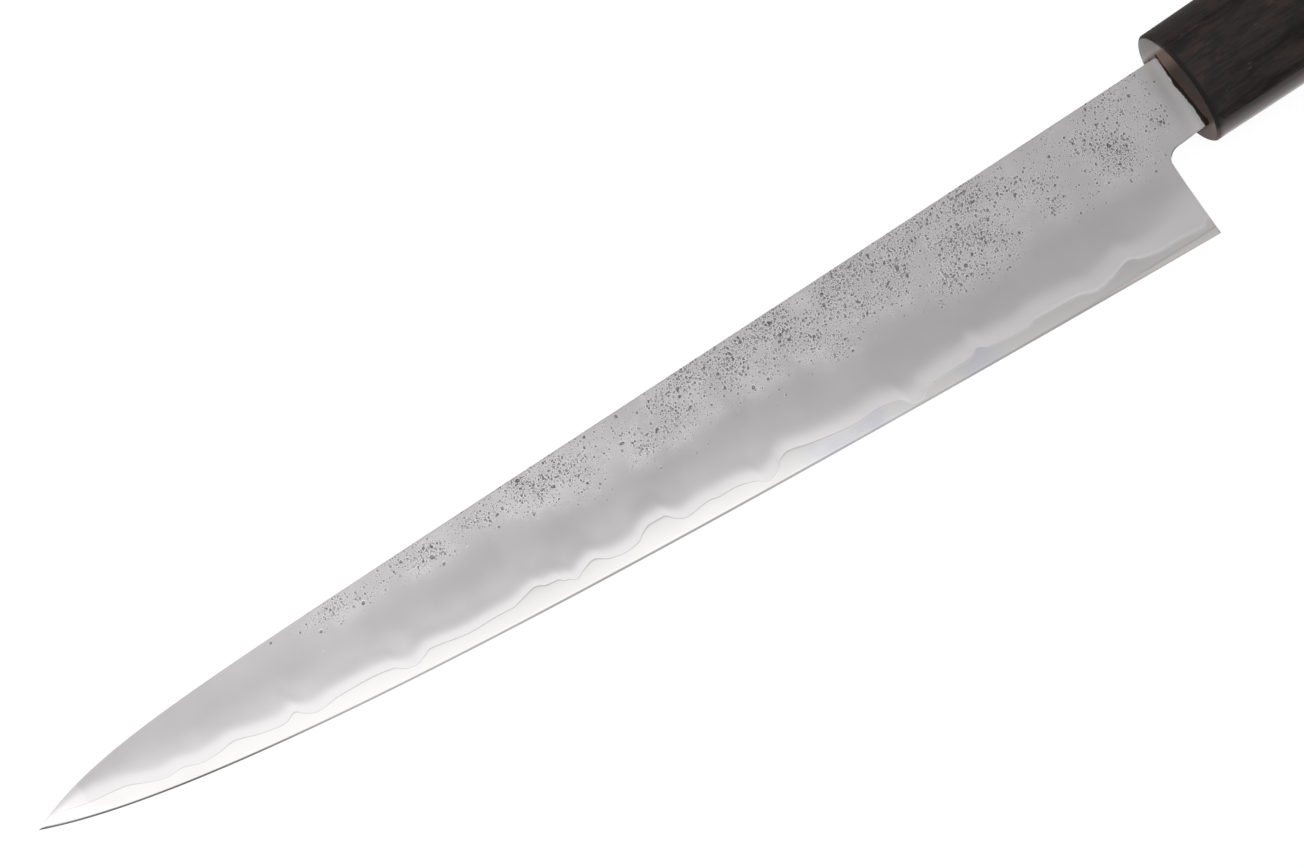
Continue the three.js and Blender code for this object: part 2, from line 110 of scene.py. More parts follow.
# Where the painted shadow on the neck, at the mouth of the slot, ends: millimetres from the handle's
# axis towards the edge, millimetres ahead of the ferrule's face.
SLOT_SHADOW_END = ((-1.2, 0.42), (1, 0.15), (3, -0.15), (5.2, -0.42), (8.5, -0.5))

# Zones along the blade, in millimetres from the ferrule's face: from where a finish begins, ends
# or changes, to where it has done so.
SKIN_BEGINS = (2.5, 6)
FORGED_ENDS = (105, 200)
HAZE_ENDS = (45, 96)
BURR_ENDS = (34, 52)
FRINGE_BEGINS = (65, 122)
FRINGE_WEAKENS = (165, 195)
SHADED_BEGINS = (8, 16)
SHADED_ENDS = (40, 112)
MATT_ENDS = (3, 9)
# Next to the ferrule the cladding is painted lighter, a painted light against the handle's shade, and
# made rougher
SCOUR_AND_LIGHT_ENDS = (0.3, 3.4)
SEAM_BEGINS = (90, 130)
FRESH_GROWS = (55, 70)
FRESH_ENDS = (100, 125)
SCORED_ENDS = (16, 60)

# Zones across the blade, in millimetres above the cladding line, or below it for the core
HAZE_TOP = (1.2, 4.4)
BURR_TOP = (0.25, 0.7)
FRINGE_TOP = (0.3, 2.8)
SHADED_FOOT = (3.2, 5.5)
SHADED_TOP = (10.5, 14.5)
SEAM_DEPTH = (0, 0.15)
FRESH_DEPTH = (0.05, 0.4)

# Shares: the strength of the forged skin, where it fades within its band, what is left of the
# fringe towards the tip and of the fresh seam near the heel, and where the honed strip fades
FORGED_SHARE = 0.8
BAND_FADES = (0.2, 0.95)
FRINGE_LEFT = 0.35
FRESH_LEFT = 0.7
HONED_FADES = (0.85, 1.05)

# How soon the skin turns rough where pits crowd, and how far around them it does
PATCH_GLOW = 2.5
GLOW_SPREAD = 1.4

# Where the swelling above the line grows, in millimetres: after the heel, and by the plate's height
SWELL_BEGINS = (1, 12)
SWELL_HEIGHT = (4, 10)

# Dents keep clear of the cladding line and of the spine, in millimetres.
DENT_OFF_LINE = (0, 0.6)
DENT_OFF_SPINE = (0, 0.3)

# Pits: how a patch stretches along and across the blade, how many small pits come to a dent, the
# radius of a dent in millimetres, its lip as height, place and width in shares of the bowl, and
# how far its stain reaches.
PATCH_STRETCH = (1.1, 0.8)
PITS_PER_DENT = 12
DENT_RADIUS = (0.22, 0.36)
DENT_LIP = (0.12, 1.15, 0.16)
DENT_STAIN = (0.2, 1.5)

# The honed strip near the heel: how many bevels wide it is there, over how many millimetres it
# narrows, and the width of the line above it in millimetres.
HONED_BEVELS = 3.5
HONED_NARROWS = 28
SCORED_WIDTH = 0.2

# Zones of the handle, in millimetres from its axis: towards the spine, towards the edge, or up.
# Those of the rim run from the spine side to the edge side. The vein has a middle and a width.
DULL_SPINE = (7.5, 9.5)
POLISHED_SPINE = (7.2, 8.2)
POLISHED_EDGE = (8, 9.2)
WARM_SPINE = (2.8, 5.8)
# The flank on the edge side gets a clear coat and a lighter reddish colour, which is a painted
# reflection
FLANK_EDGE = (9.65, 10.45)
FLANK_TOP = (-1.5, 1.5)
# A dark line along the ferrule's rim is painted shade: none at the spine end, and a wider band on the
# edge side
RIM_SHADE_SPINE = (-8, -4)
RIM_SHADE_EDGE = (0, 7)
VEIN = (3.4, 1.5)

# The burnt slot: waves of its edge as height, length of a radian and start, from where to where
# its corners widen, the middle and width of its charred corners, and how far its edge is moved, in
# millimetres. Then the share of its height that moves, and by how many gaps its mouth is lower.
CHAR_WAVES = ((0.07, 0.36, 0), (0.08, 0.9, 1.3))
WIDE_AT_EDGE = (6.2, 7.8)
WIDE_AT_SPINE = (6, 6.8)
CHARRED_CORNERS = ((7.6, 0.7), (-7, 0.5))
SLOT_TAPER = 0.85
SLOT_LEAN = 0.45
SLOT_NARROWEST = -0.5
SLOT_SIDES = 0.49
SLOT_TIGHT = 1.8

# The ferrule's front face, as rings from the slot to the rim: share of the way, scorch
FACE_RINGS = ((0.06, 0.7), (0.14, 0.55), (0.3, 0.42), (0.5, 0.2), (0.75, 0), (0.92, 0))

# The ferrule's eased rim, as rings from the face to the outside: share of the way, sanded
RIM_RINGS = ((0, 0.8), (0.08, 0.2), (0.2, 0), (0.6, 0), (0.88, 0), (1, 0))

# How far the wood of each section goes from near black towards brown
FERRULE_WARMTH = 0.0
BODY_WARMTH = 0.35

# Pit patches of the right face: first and last place and spacing, in millimetres, then from where
# to where they are scattered: depth as a share of the forged skin's, shift and reach in
# millimetres, number of pits.
RIGHT_PLACES = (7, 186, 4.4)
RIGHT_DEPTH = (0.08, 0.9)
RIGHT_SHIFT = (-2, 2)
RIGHT_REACH = (1.5, 2.7)
RIGHT_COUNT = (10, 46)

# Small pits in the finish of the plates: spacing, smallest and largest radius
SMALL_PITS = (0.6 * MM, 0.11 * MM, 0.25 * MM)
SPECKS = (0.36 * MM, 0.075 * MM, 0.14 * MM)

# Where most values of a noise lie
NOISE_SPAN = (0.3, 0.7)

# Colours of the wood's pores and pale flecks, and the tint of its gloss
PORE = (0.005, 0.0045, 0.004)
FLECK = (0.09, 0.085, 0.08)
GLOSS_TINT = (1, 0.93, 0.915)

# Fineness of the meshes. The rows next to the spine come closer together where a plate is lower
# than EASE_REACH. A broken corner takes at most EASE_SHARE of a plate's thickness. Rows lean along
# the blade by less than ROW_LEAN.
FINE_STEP = 0.25 * MM
CHOIL_STEP = 0.32 * MM
NOTCH_STEPS = 14
EASE_ROWS = (0.0, 0.08 * MM, 0.18 * MM, 0.32 * MM)
EASE_REACH = 10 * MM
EASE_SHARE = 0.6
ROW_LEAN = 6 * MM
FACE_ROWS = 80
BARE_ROWS = 12
OVAL_STEPS = 144
FERRULE_STEPS = 26
GRIP_STEPS = 60
BUTT_STEPS = 10
SLOT_SQUARENESS = 0.22
SHARP_ANGLE = math.radians(38)
JOIN_DISTANCE = 1e-7


def size_of(name, description, millimetres):
    """A length that is given here in millimetres and kept in metres."""
    return FloatProperty(
        name=name, description=description, default=millimetres * MM, precision=5, unit="LENGTH"
    )


def angle_of(name, description, degrees):
    return FloatProperty(
        name=name, description=description, default=math.radians(degrees), subtype="ANGLE"
    )


def share_of(name, description, default):
    return FloatProperty(
        name=name, description=description, default=default, min=0.0, max=1.0, subtype="FACTOR"
    )


def colour_of(name, description, red, green, blue):
    return FloatVectorProperty(
        name=name,
        description=description,
        default=(red, green, blue),
        min=0.0,
        max=1.0,
        precision=4,
        subtype="COLOR",
    )


class BladeSettings(bpy.types.PropertyGroup):
    """Outline, thickness and layers of the blade, neck and tang."""

    length: size_of("Blade length", "Heel to tip, along the spine", 240)
    neck_length: size_of("Neck length", "Ferrule face to heel", 7.6)
    spine_height: size_of("Spine height", "Spine above the handle's axis", 7.03)
    heel_depth: size_of("Heel depth", "Heel below the handle's axis", 26.3)
    tip_height: size_of("Tip height", "Tip above the handle's axis", 0.63)
    spine_straight: size_of("Straight spine", "Heel to where the spine begins to fall", 140.7)
    spine_easing: size_of("Spine easing", "How long the spine still holds its line", 68.5)
    spine_nose: size_of("Spine nose", "How far before the tip the spine falls most", 15.3)
    edge_heel_angle: angle_of("Heel angle", "Edge against the spine at the heel", 3.06)
    edge_heel_reach: size_of("Heel reach", "How long the edge holds the heel angle", 156)
    edge_tip_angle: angle_of("Tip angle", "Edge against the spine at the tip", 22.5)
    edge_tip_reach: size_of("Tip reach", "How long the edge holds the tip angle", 26.9)
    neck_depth: size_of("Neck depth", "Underside of the neck below the handle's axis", 8.42)
    neck_slope: angle_of("Neck slope", "How the neck's underside falls to the heel", 3.6)
    choil_lean: angle_of("Choil lean", "How the heel leans back to the handle", 3.3)
    notch_radius: size_of("Notch radius", "Inside corner between neck and choil", 2.8)
    spine_at_heel: size_of("Spine at heel", "Thickness of the spine at the heel", 2.1)
    spine_at_tip: size_of("Spine at tip", "Thickness of the spine near the tip", 0.9)
    nose_height: size_of("Nose height", "Blade height below which it thins to a point", 7)
    grind_power: FloatProperty(
        name="Grind", description="1 is a flat wedge, more is a rounder belly", default=1.75
    )
    bevel_height: size_of("Bevel height", "Honed bevel above the edge", 0.45)
    bevel_thickness: size_of("Bevel thickness", "At the top of the honed bevel", 0.24)
    edge_thickness: size_of("Edge thickness", "Left at the very edge", 0.06)
    neck_top: size_of("Neck top", "Neck thickness at the spine", 2.6)
    neck_under: size_of("Neck under", "Neck thickness along its underside", 1.6)
    neck_fade: size_of("Neck fade", "Length over which the neck runs into the blade", 20)
    heel_fade: size_of("Heel fade", "Depth over which the neck runs into the blade", 14)
    spine_ease: size_of("Spine ease", "Broken corner along the spine", 0.3)
    choil_ease: size_of("Choil ease", "Broken corner along the neck and choil", 0.1)
    rub_height: size_of("Rub height", "How far the face swells above the cladding line", 0.016)
    rub_reach: size_of("Rub reach", "How far above the line it swells most", 2.4)
    core_at_spine: size_of("Core at spine", "Core thickness along the spine", 0.8)
    tip_bare: size_of("Bare tip", "The point is bare core over this length", 3.4)
    tip_swell: size_of("Tip swell", "Length over which the core grows before it", 8)
    tang_length: size_of("Tang length", "Ferrule face to the tang's end", 98)
    neck_inset: size_of("Neck inset", "The neck keeps its height this far inside", 4)
    tang_shoulder: size_of("Tang shoulder", "The tang has narrowed by here", 12)
    tang_height: size_of("Tang height", "At the shoulder", 10.4)
    tang_end_height: size_of("Tang end height", "At its end", 5)
    tang_end_thickness: size_of("Tang end thickness", "At its end", 1.7)


class SteelSettings(bpy.types.PropertyGroup):
    """Finish of the two steels, and the pits in the forged skin."""

    cladding: colour_of("Cladding", "Soft steel of the outer layers", 0.603, 0.588, 0.594)
    core: colour_of("Core", "Hard steel of the cutting edge", 0.625, 0.619, 0.614)
    stain: colour_of("Pit stain", "Floor of the pits", 0.145, 0.142, 0.138)
    # Grey painted on the core near the heel: painted shade
    heel_shade_tone: colour_of("Heel shade", "Core steel painted darker near the heel", 0.5, 0.49, 0.487)
    blueing: colour_of("Blueing", "Bluish film on the core nearer the heel", 0.53, 0.53, 0.585)
    rust: colour_of("Edge tint", "Cream tint of the edge near the heel", 0.62, 0.585, 0.56)
    score: colour_of("Honing line", "Line where the honed edge begins near the heel", 0.33, 0.315, 0.305)
    # A dark line painted on the neck where it enters the slot: a painted shadow of the slot's mouth
    painted_slot_shadow: colour_of("Slot shadow", "Black line where the neck enters the handle", 0.085, 0.074, 0.06)
    seam: colour_of("Seam", "Forge weld between core and cladding", 0.5, 0.5, 0.505)
    satin: share_of("Satin", "Roughness of the polished cladding", 0.11)
    forged: share_of("Forged skin", "Roughness of the pitted band", 0.33)
    mirror: share_of("Core polish", "Roughness of the bare core", 0.085)
    pit_radius: size_of("Pit radius", "Usual radius of a large pit", 0.4)
    pit_depth: size_of("Pit depth", "Depth of a pit of that radius", 0.06)
    pits_in_patch: share_of("Pits in patches", "How thick the small pits lie in the patches", 0.58)
    stray_pits: share_of("Stray pits", "How thick they lie between the patches", 0.2)
    specks_in_patch: share_of("Specks in patches", "How thick the tiny pits lie in the patches", 0.6)
    stray_specks: share_of("Stray specks", "How thick they lie between the patches", 0.6)
    seed: IntProperty(name="Pit seed", description="Another number scatters the pits anew", default=7)


class HandleSettings(bpy.types.PropertyGroup):
    """Sizes of the wooden handle, and the colours of its wood and resin."""

    length: size_of("Handle length", "Ferrule face to butt", 132)
    front_height: size_of("Front height", "Oval's height at the ferrule's face", 23.6)
    front_width: size_of("Front width", "Oval's width at the ferrule's face", 18.7)
    butt_height: size_of("Butt height", "Oval's height at the butt", 26.6)
    butt_width: size_of("Butt width", "Oval's width at the butt", 21.2)
    lean: angle_of("Lean", "The handle rises towards the spine, going back", 0.6)
    front_slant: angle_of("Front slant", "The front face is further forward at the spine", 3.3)
    butt_round: size_of("Butt round", "Rounded edge at the butt", 2)
    rim_ease: size_of("Rim ease", "Broken edge around the front face", 0.5)
    joint_ease: size_of("Joint ease", "Broken edges where ferrule and body meet", 0.12)
    ferrule_length: size_of("Ferrule length", "Front face to the joint with the body", 32)
    tenon_length: size_of("Tenon length", "The body's tenon inside the ferrule", 14)
    tenon_height: size_of("Tenon height", "Height of the tenon", 17.6)
    tenon_width: size_of("Tenon width", "Width of the tenon", 11.6)
    tenon_gap: size_of("Tenon gap", "Glue line around the tenon", 0.15)
    mouth_gap: size_of("Mouth gap", "Slot above and below the neck", 0.12)
    mouth_side: size_of("Mouth side", "Slot on each side of the neck", 0.9)
    hole_gap: size_of("Hole gap", "Hole in the body above and below the tang", 0.5)
    hole_end: size_of("Hole end", "Hole beyond the tang's end", 6)
    dark_wood: colour_of("Dark wood", "Dark bands of the wood", 0.0055, 0.0053, 0.0042)
    brown_wood: colour_of("Brown wood", "Lighter bands of the wood", 0.03, 0.021, 0.0175)
    red_streak: colour_of("Red streak", "Thin reddish streaks", 0.075, 0.032, 0.027)
    scorch: colour_of("Scorched wood", "Brown wood around the slot", 0.07, 0.038, 0.026)
    char: colour_of("Char", "Inside of the slot, where the tang was burnt in", 0.004, 0.0035, 0.003)
    end_grain: colour_of("End grain", "Sanded end grain of the front face", 0.052, 0.039, 0.032)
    pale_grain: colour_of("Pale end grain", "End grain at the spine side of the slot", 0.3, 0.2, 0.165)
    resin: colour_of("Resin", "Resin that beds the tang", 0.30, 0.23, 0.14)


class StageSettings(bpy.types.PropertyGroup):
    """Camera, floor and studio light."""

    camera_x: size_of("Camera along", "Camera ahead of the ferrule's face", 114.5)
    camera_y: size_of("Camera across", "Camera from the handle's axis to the edge", 0.14)
    camera_height: size_of("Camera height", "Camera above the blade", 351)
    camera_turn: angle_of("Camera turn", "The picture's turn about the vertical", 146.8)
    lens: FloatProperty(name="Lens", description="Focal length, in millimetres", default=53.15)
    floor_reach: size_of("Floor reach", "Length of each side of the floor", 6000)
    floor_white: share_of("Floor white", "How white the floor shows by itself", 0.87)
    floor_shade: share_of("Floor shade", "How strongly the floor takes light and shadow", 0.3)
    overhead: FloatProperty(name="Overhead", description="Light straight above", default=0.62)
    surround: FloatProperty(name="Surround", description="Light near the horizon", default=1.0)
    sides: share_of("Sides", "Share of the overhead light that comes from low at the sides", 0.36)
    panel: FloatProperty(name="Panel", description="Light of the panel over the edge side", default=1.46)


class KnifeSettings(bpy.types.PropertyGroup):
    """Everything that a user would change."""

    blade: PointerProperty(type=BladeSettings, name="Blade", description="Blade sizes")
    steel: PointerProperty(type=SteelSettings, name="Steel", description="Steel finish and pits")
    handle: PointerProperty(type=HandleSettings, name="Handle", description="Handle sizes and colours")
    stage: PointerProperty(type=StageSettings, name="Stage", description="Camera, floor and light")


def lerp(low, high, share):
    return low + (high - low) * share


def smooth(value, low, high):
    share = np.clip((value - low) / (high - low), 0.0, 1.0)
    return share * share * (3.0 - 2.0 * share)


def rise(value, zone):
    """From 0 to 1 across a zone that is given in millimetres."""
    return smooth(value, zone[0] * MM, zone[1] * MM)


def fall(value, zone):
    return 1.0 - rise(value, zone)


def bell(value, middle, width):
    """1 at the middle and less on both sides. Middle and width are in millimetres."""
    return np.exp(-(((value - middle * MM) / (width * MM)) ** 2))


def read_off(table, place):
    """The second column of a table, at a place that its first column gives in millimetres."""
    return np.interp(place / MM, *np.array(table).T)


def scaled(parts, share):
    return [share * part for part in parts]


def pairs(x, y):
    return np.stack((x, y), axis=1)


def quarter_round(distance, radius):
    """How far a corner of this radius has drawn back, at a distance from the corner."""
    near = 1.0 - np.clip(distance / np.maximum(radius, 1e-9), 0.0, 1.0)
    return radius * (1.0 - np.sqrt(1.0 - near * near))


def bezier_table(start, start_pull, end_pull, end):
    """Points of a curve that runs steadily along x, as one row of x and one of y."""
    t = np.linspace(0.0, 1.0, 3000)[:, None]
    points = [np.array(point) for point in (start, start_pull, end_pull, end)]
    weights = ((1 - t) ** 3, 3 * t * (1 - t) ** 2, 3 * t * t * (1 - t), t**3)
    return sum(weight * point for weight, point in zip(weights, points)).T


def smooth_slopes(places, heights):
    """Slopes of a smooth curve through points: level at crests, dips and both ends."""
    rises = np.diff(heights) / np.diff(places)
    before, after = rises[:-1], rises[1:]
    slopes = np.zeros_like(places)
    steady = before * after > 0
    np.divide(2 * before * after, before + after, out=slopes[1:-1], where=steady)
    return slopes


class BladeForm:
    """The blade's outline, thickness and layers.

    x runs from the ferrule's face to the tip, y from the handle's axis to the edge and z out of
    the left face, in metres.
    """

    def __init__(self, size):
        self.size = size
        self.heel_x = size.neck_length
        self.tip_x = self.heel_x + size.length
        self.bare_x = self.tip_x - size.tip_bare
        tip = (self.tip_x, -size.tip_height)
        fall_x = self.heel_x + size.spine_straight
        self.spine_curve = bezier_table(
            (fall_x, -size.spine_height),
            (fall_x + size.spine_easing, -size.spine_height),
            (self.tip_x - size.spine_nose, -size.spine_height),
            tip,
        )
        self.edge_curve = bezier_table(
            (self.heel_x, size.heel_depth),
            (
                self.heel_x + size.edge_heel_reach * math.cos(size.edge_heel_angle),
                size.heel_depth - size.edge_heel_reach * math.sin(size.edge_heel_angle),
            ),
            (
                tip[0] - size.edge_tip_reach * math.cos(size.edge_tip_angle),
                tip[1] + size.edge_tip_reach * math.sin(size.edge_tip_angle),
            ),
            tip,
        )
        points = [(place / 100, height * MM) for place, height in CLADDING_LINE]
        points.append((1 - size.tip_bare / size.length, float(self.height(self.bare_x))))
        self.line_places, self.line_heights = np.array(points).T
        self.line_slopes = smooth_slopes(self.line_places, self.line_heights)

    def spine_y(self, x):
        return np.interp(x, *self.spine_curve)

    def edge_y(self, x):
        return np.interp(x, *self.edge_curve)

    def height(self, x):
        return np.maximum(self.edge_y(x) - self.spine_y(x), 0.0)

    def neck_under_y(self, x):
        return self.size.neck_depth + math.tan(self.size.neck_slope) * x

    def choil_x(self, y):
        return self.heel_x + (self.size.heel_depth - y) * math.tan(self.size.choil_lean)

    def along(self, x):
        return np.clip((x - self.heel_x) / self.size.length, 0.0, 1.0)

    def spine_half(self, x):
        taper = lerp(self.size.spine_at_heel, self.size.spine_at_tip, self.along(x)) / 2
        return taper * np.sqrt(np.minimum(1.0, self.height(x) / self.size.nose_height))

    def grind_half(self, x, y):
        """Half the thickness of the convex grind, from the honed bevel up to the spine."""
        size = self.size
        height = np.maximum(self.height(x), 1e-9)
        above = np.clip(self.edge_y(x) - y, 0.0, height)
        top = self.spine_half(x)
        bevel = np.minimum(size.bevel_height, height / 3)
        shoulder = np.minimum(size.bevel_thickness / 2, top * 0.6)
        thinnest = np.minimum(size.edge_thickness / 2, top * 0.3)
        climb = np.clip((above - bevel) / (height - bevel), 0.0, 1.0)
        face = shoulder + (top - shoulder) * (1 - (1 - climb) ** size.grind_power)
        return np.where(above < bevel, lerp(thinnest, shoulder, above / bevel), face)

    def bar_half(self, x, y):
        """Half the thickness of the neck and tang, which are a plain bar."""
        size = self.size
        down = np.clip((y + size.spine_height) / (size.spine_height + size.neck_depth), 0.0, 1.0)
        neck = lerp(size.neck_top, size.neck_under, down) / 2
        return lerp(neck, size.tang_end_thickness / 2, np.clip(-x / size.tang_length, 0.0, 1.0))

    def face_half(self, x, y):
        """Half the thickness of the whole blade at a point of its face."""
        size = self.size
        under = self.neck_under_y(self.heel_x)
        by_length = 1 - smooth(x, self.heel_x - size.notch_radius, self.heel_x + size.neck_fade)
        by_depth = 1 - smooth(y, under, under + size.heel_fade)
        return lerp(self.grind_half(x, y), self.bar_half(x, y), by_length * by_depth)

    def line_height(self, x):
        """Height of the cladding line above the edge."""
        places, heights, slopes = self.line_places, self.line_heights, self.line_slopes
        along = self.along(x)
        i = np.clip(np.searchsorted(places, along, side="right") - 1, 0, len(places) - 2)
        run = places[i + 1] - places[i]
        share = np.clip((along - places[i]) / run, 0.0, 1.0)
        left = 1.0 - share
        bow = run * share * left * (left * slopes[i] - share * slopes[i + 1])
        line = lerp(heights[i], heights[i + 1], smooth(share, 0.0, 1.0)) + bow
        full = self.height(x)
        return np.where(along >= places[-1], full, np.minimum(line, full))

    def core_half(self, x, y):
        """Half the thickness of the core, from the cladding line up to the spine."""
        size = self.size
        line = self.line_height(x)
        line_half = self.grind_half(x, self.edge_y(x) - line)
        swell = smooth(x, self.bare_x - size.tip_swell, self.bare_x)
        share = lerp(size.core_at_spine / size.spine_at_heel, 1.0, swell)
        climb = (self.edge_y(x) - y - line) / np.maximum(self.height(x) - line, 1e-9)
        return lerp(line_half, self.spine_half(x) * share, np.clip(climb, 0.0, 1.0))

    def notch_arc(self):
        """The rounded inside corner between the neck's underside and the choil."""
        size = self.size
        corner_x = self.choil_x(self.neck_under_y(self.heel_x))
        corner = np.array((corner_x, self.neck_under_y(corner_x)))
        to_handle = np.array((-math.cos(size.neck_slope), -math.sin(size.neck_slope)))
        to_heel = np.array((-math.sin(size.choil_lean), math.cos(size.choil_lean)))
        half = math.acos(to_handle @ to_heel) / 2
        bisector = (to_handle + to_heel) / np.linalg.norm(to_handle + to_heel)
        centre = corner + bisector * size.notch_radius / math.sin(half)
        start = corner + to_handle * size.notch_radius / math.tan(half) - centre
        end = corner + to_heel * size.notch_radius / math.tan(half) - centre
        first = math.atan2(start[1], start[0])
        sweep = (math.atan2(end[1], end[0]) - first + math.pi) % (2 * math.pi) - math.pi
        angles = first + sweep * np.linspace(0.0, 1.0, NOTCH_STEPS)
        return centre + size.notch_radius * pairs(np.cos(angles), np.sin(angles))

    def rows(self):
        """Feet on the lower outline and crowns on the spine, from the tang's end to the tip.

        Round the notch the feet go down the choil while the crowns move on along the spine, so
        the rows fan out and never cross.
        """
        size = self.size
        top = -size.spine_height
        tang_x = np.array((-size.tang_length, -size.tang_shoulder))
        tang_half = np.array((size.tang_end_height, size.tang_height)) / 2
        notch = self.notch_arc()
        neck_x = np.arange(-size.neck_inset, notch[0, 0] - FINE_STEP / 2, FINE_STEP)
        choil_count = int((size.heel_depth - notch[-1, 1]) / CHOIL_STEP)
        choil_y = np.linspace(notch[-1, 1], size.heel_depth, choil_count)[1:]
        choil = pairs(self.choil_x(choil_y), choil_y)
        turning = np.vstack((notch, choil))
        fan = size.notch_radius * 2
        turning_x = np.linspace(notch[0, 0], self.heel_x + fan, len(turning))
        edge_x = np.linspace(self.heel_x, self.tip_x, int(size.length / FINE_STEP))[1:]
        crown_x = edge_x + fan * np.maximum(0.0, 1 - (edge_x - self.heel_x) / (size.neck_fade * 2))
        feet = np.vstack(
            (
                pairs(tang_x, tang_half),
                pairs(neck_x, self.neck_under_y(neck_x)),
                turning,
                pairs(edge_x, self.edge_y(edge_x)),
            )
        )
        crowns = np.vstack(
            (
                pairs(tang_x, -tang_half),
                pairs(neck_x, np.full_like(neck_x, top)),
                pairs(turning_x, np.full_like(turning_x, top)),
                pairs(crown_x, self.spine_y(crown_x)),
            )
        )
        return feet, crowns


class BladeRows:
    """The rows of a blade, with where the cladding line crosses each of them."""

    def __init__(self, form):
        self.form = form
        self.feet, self.crowns = form.rows()
        tall = np.maximum(self.feet[:, 1] - self.crowns[:, 1], 1e-9)
        above = form.edge_y(np.maximum(self.feet[:, 0], form.heel_x)) - self.feet[:, 1]
        bare = (form.line_height(self.feet[:, 0]) - above) / tall
        bare = np.where(self.feet[:, 0] >= form.bare_x, 1.0, np.clip(bare, 0.0, 1.0))
        self.bare = bare
        self.lines = self.feet + bare[:, None] * (self.crowns - self.feet)
        on_line = form.face_half(*self.lines.T)
        self.line_half = np.where(bare > 0, on_line, form.core_half(*self.feet.T))
        full = form.face_half(*self.crowns.T)
        self.top_half = np.where(bare >= 1, full, form.core_half(*self.crowns.T))
        self.clad_end = int(np.argmax(bare >= 1)) + 1


def blade_place(form):
    """Where the point at the ferrule's face, on the handle's axis, lies in the frame."""
    low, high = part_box("core_steel")
    return np.array(
        (high.x - form.tip_x, high.y - form.size.heel_depth, (low.z + high.z) / 2)
    )


def scatter_pits(rng, patches, large):
    """Pits deep enough to dent the plate: x, depth below the spine, radius, stretch and turn."""
    places = [np.array(large).reshape(-1, 3)]
    for x, depth, reach, count in patches:
        some = count // PITS_PER_DENT
        spread = rng.normal(0.0, 1.0, (some, 2)) * scaled(PATCH_STRETCH, reach)
        radius = rng.uniform(*DENT_RADIUS, (some, 1))
        places.append(np.hstack((np.array((x, depth)) + spread, radius)))
    pits = np.vstack(places) * MM
    stretch = np.exp(rng.normal(0.0, 0.2, len(pits)))
    turn = rng.uniform(0.0, math.pi, len(pits))
    return np.column_stack((pits, stretch, turn))


def crowding(patches, x, depth, spread=1.0):
    """How close together the small pits lie at points of the face, in pits per square millimetre.

    Spread above 1 blurs the patches.
    """
    crowd = np.zeros_like(x)
    for patch_x, patch_depth, reach, count in patches:
        long, tall = scaled(PATCH_STRETCH, reach * spread)
        away = ((x / MM - patch_x) / long) ** 2 + ((depth / MM - patch_depth) / tall) ** 2
        crowd += count / (2 * math.pi * long * tall) * np.exp(-away / 2)
    return crowd


def press_pits(pits, steel, x, depth):
    """Depth of the surface below the plain face, and its stain, at points of the face."""
    sunk = np.zeros_like(x)
    stain = np.zeros_like(x)
    lip_height, lip_place, lip_width = DENT_LIP
    for pit_x, pit_depth, radius, stretch, turn in pits:
        reach = radius * 2.0 + ROW_LEAN
        first, last = np.searchsorted(x[:, 0], (pit_x - reach, pit_x + reach))
        across = x[first:last] - pit_x
        down = depth[first:last] - pit_depth
        along = (across * math.cos(turn) + down * math.sin(turn)) * stretch
        aside = (down * math.cos(turn) - across * math.sin(turn)) / stretch
        away = np.hypot(along, aside) / radius
        bowl = np.clip(1.0 - away * away, 0.0, 1.0)
        lip = lip_height * np.exp(-(((away - lip_place) / lip_width) ** 2))
        sunk[first:last] += steel.pit_depth * radius / steel.pit_radius * (bowl - lip)
        np.maximum(stain[first:last], 1.0 - smooth(away, *DENT_STAIN), out=stain[first:last])
    return sunk, stain


def mesh_of_rings(name, rings, marks, place, caps=(), looped=False):
    """A mesh over rings with equal point counts, with a number for each point and mark.

    Caps are the rings that get a face. Looped joins the last ring to the first.
    """
    count, around = rings.shape[:2]
    index = np.arange(count * around).reshape(count, around)
    beside = np.roll(index, -1, axis=1)
    corners = (index, np.roll(index, -1, axis=0), np.roll(beside, -1, axis=0), beside)
    quads = np.stack(corners, axis=-1)
    if not looped:
        quads = quads[:-1]
    faces = quads.reshape(-1, 4).tolist() + [index[cap].tolist() for cap in caps]
    mesh = bpy.data.meshes.new(name)
    mesh.from_pydata((rings.reshape(-1, 3) + place).tolist(), [], faces)
    for label, values in marks.items():
        layer = mesh.attributes.new(label, "FLOAT", "POINT")
        layer.data.foreach_set("value", values.reshape(-1).astype(np.float32))
    finish_mesh(mesh)
    return mesh


def finish_mesh(mesh):
    """Joins points that fall together, turns the faces outwards and shades them smooth."""
    work = bmesh.new()
    work.from_mesh(mesh)
    bmesh.ops.remove_doubles(work, verts=work.verts, dist=JOIN_DISTANCE)
    bmesh.ops.dissolve_degenerate(work, dist=JOIN_DISTANCE, edges=work.edges)
    bmesh.ops.recalc_face_normals(work, faces=work.faces)
    work.to_mesh(mesh)
    work.free()
    mesh.polygons.foreach_set("use_smooth", np.ones(len(mesh.polygons), dtype=bool))
    mesh.set_sharp_from_angle(angle=SHARP_ANGLE)


def add_piece(name, mesh, material, node):
    """Puts a finished mesh in the scene in place of a node of the frame."""
    piece = bpy.data.objects.new(name, mesh)
    bpy.context.scene.collection.objects.link(piece)
    mesh.materials.append(material)
    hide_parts(node)
    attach(piece, "root")


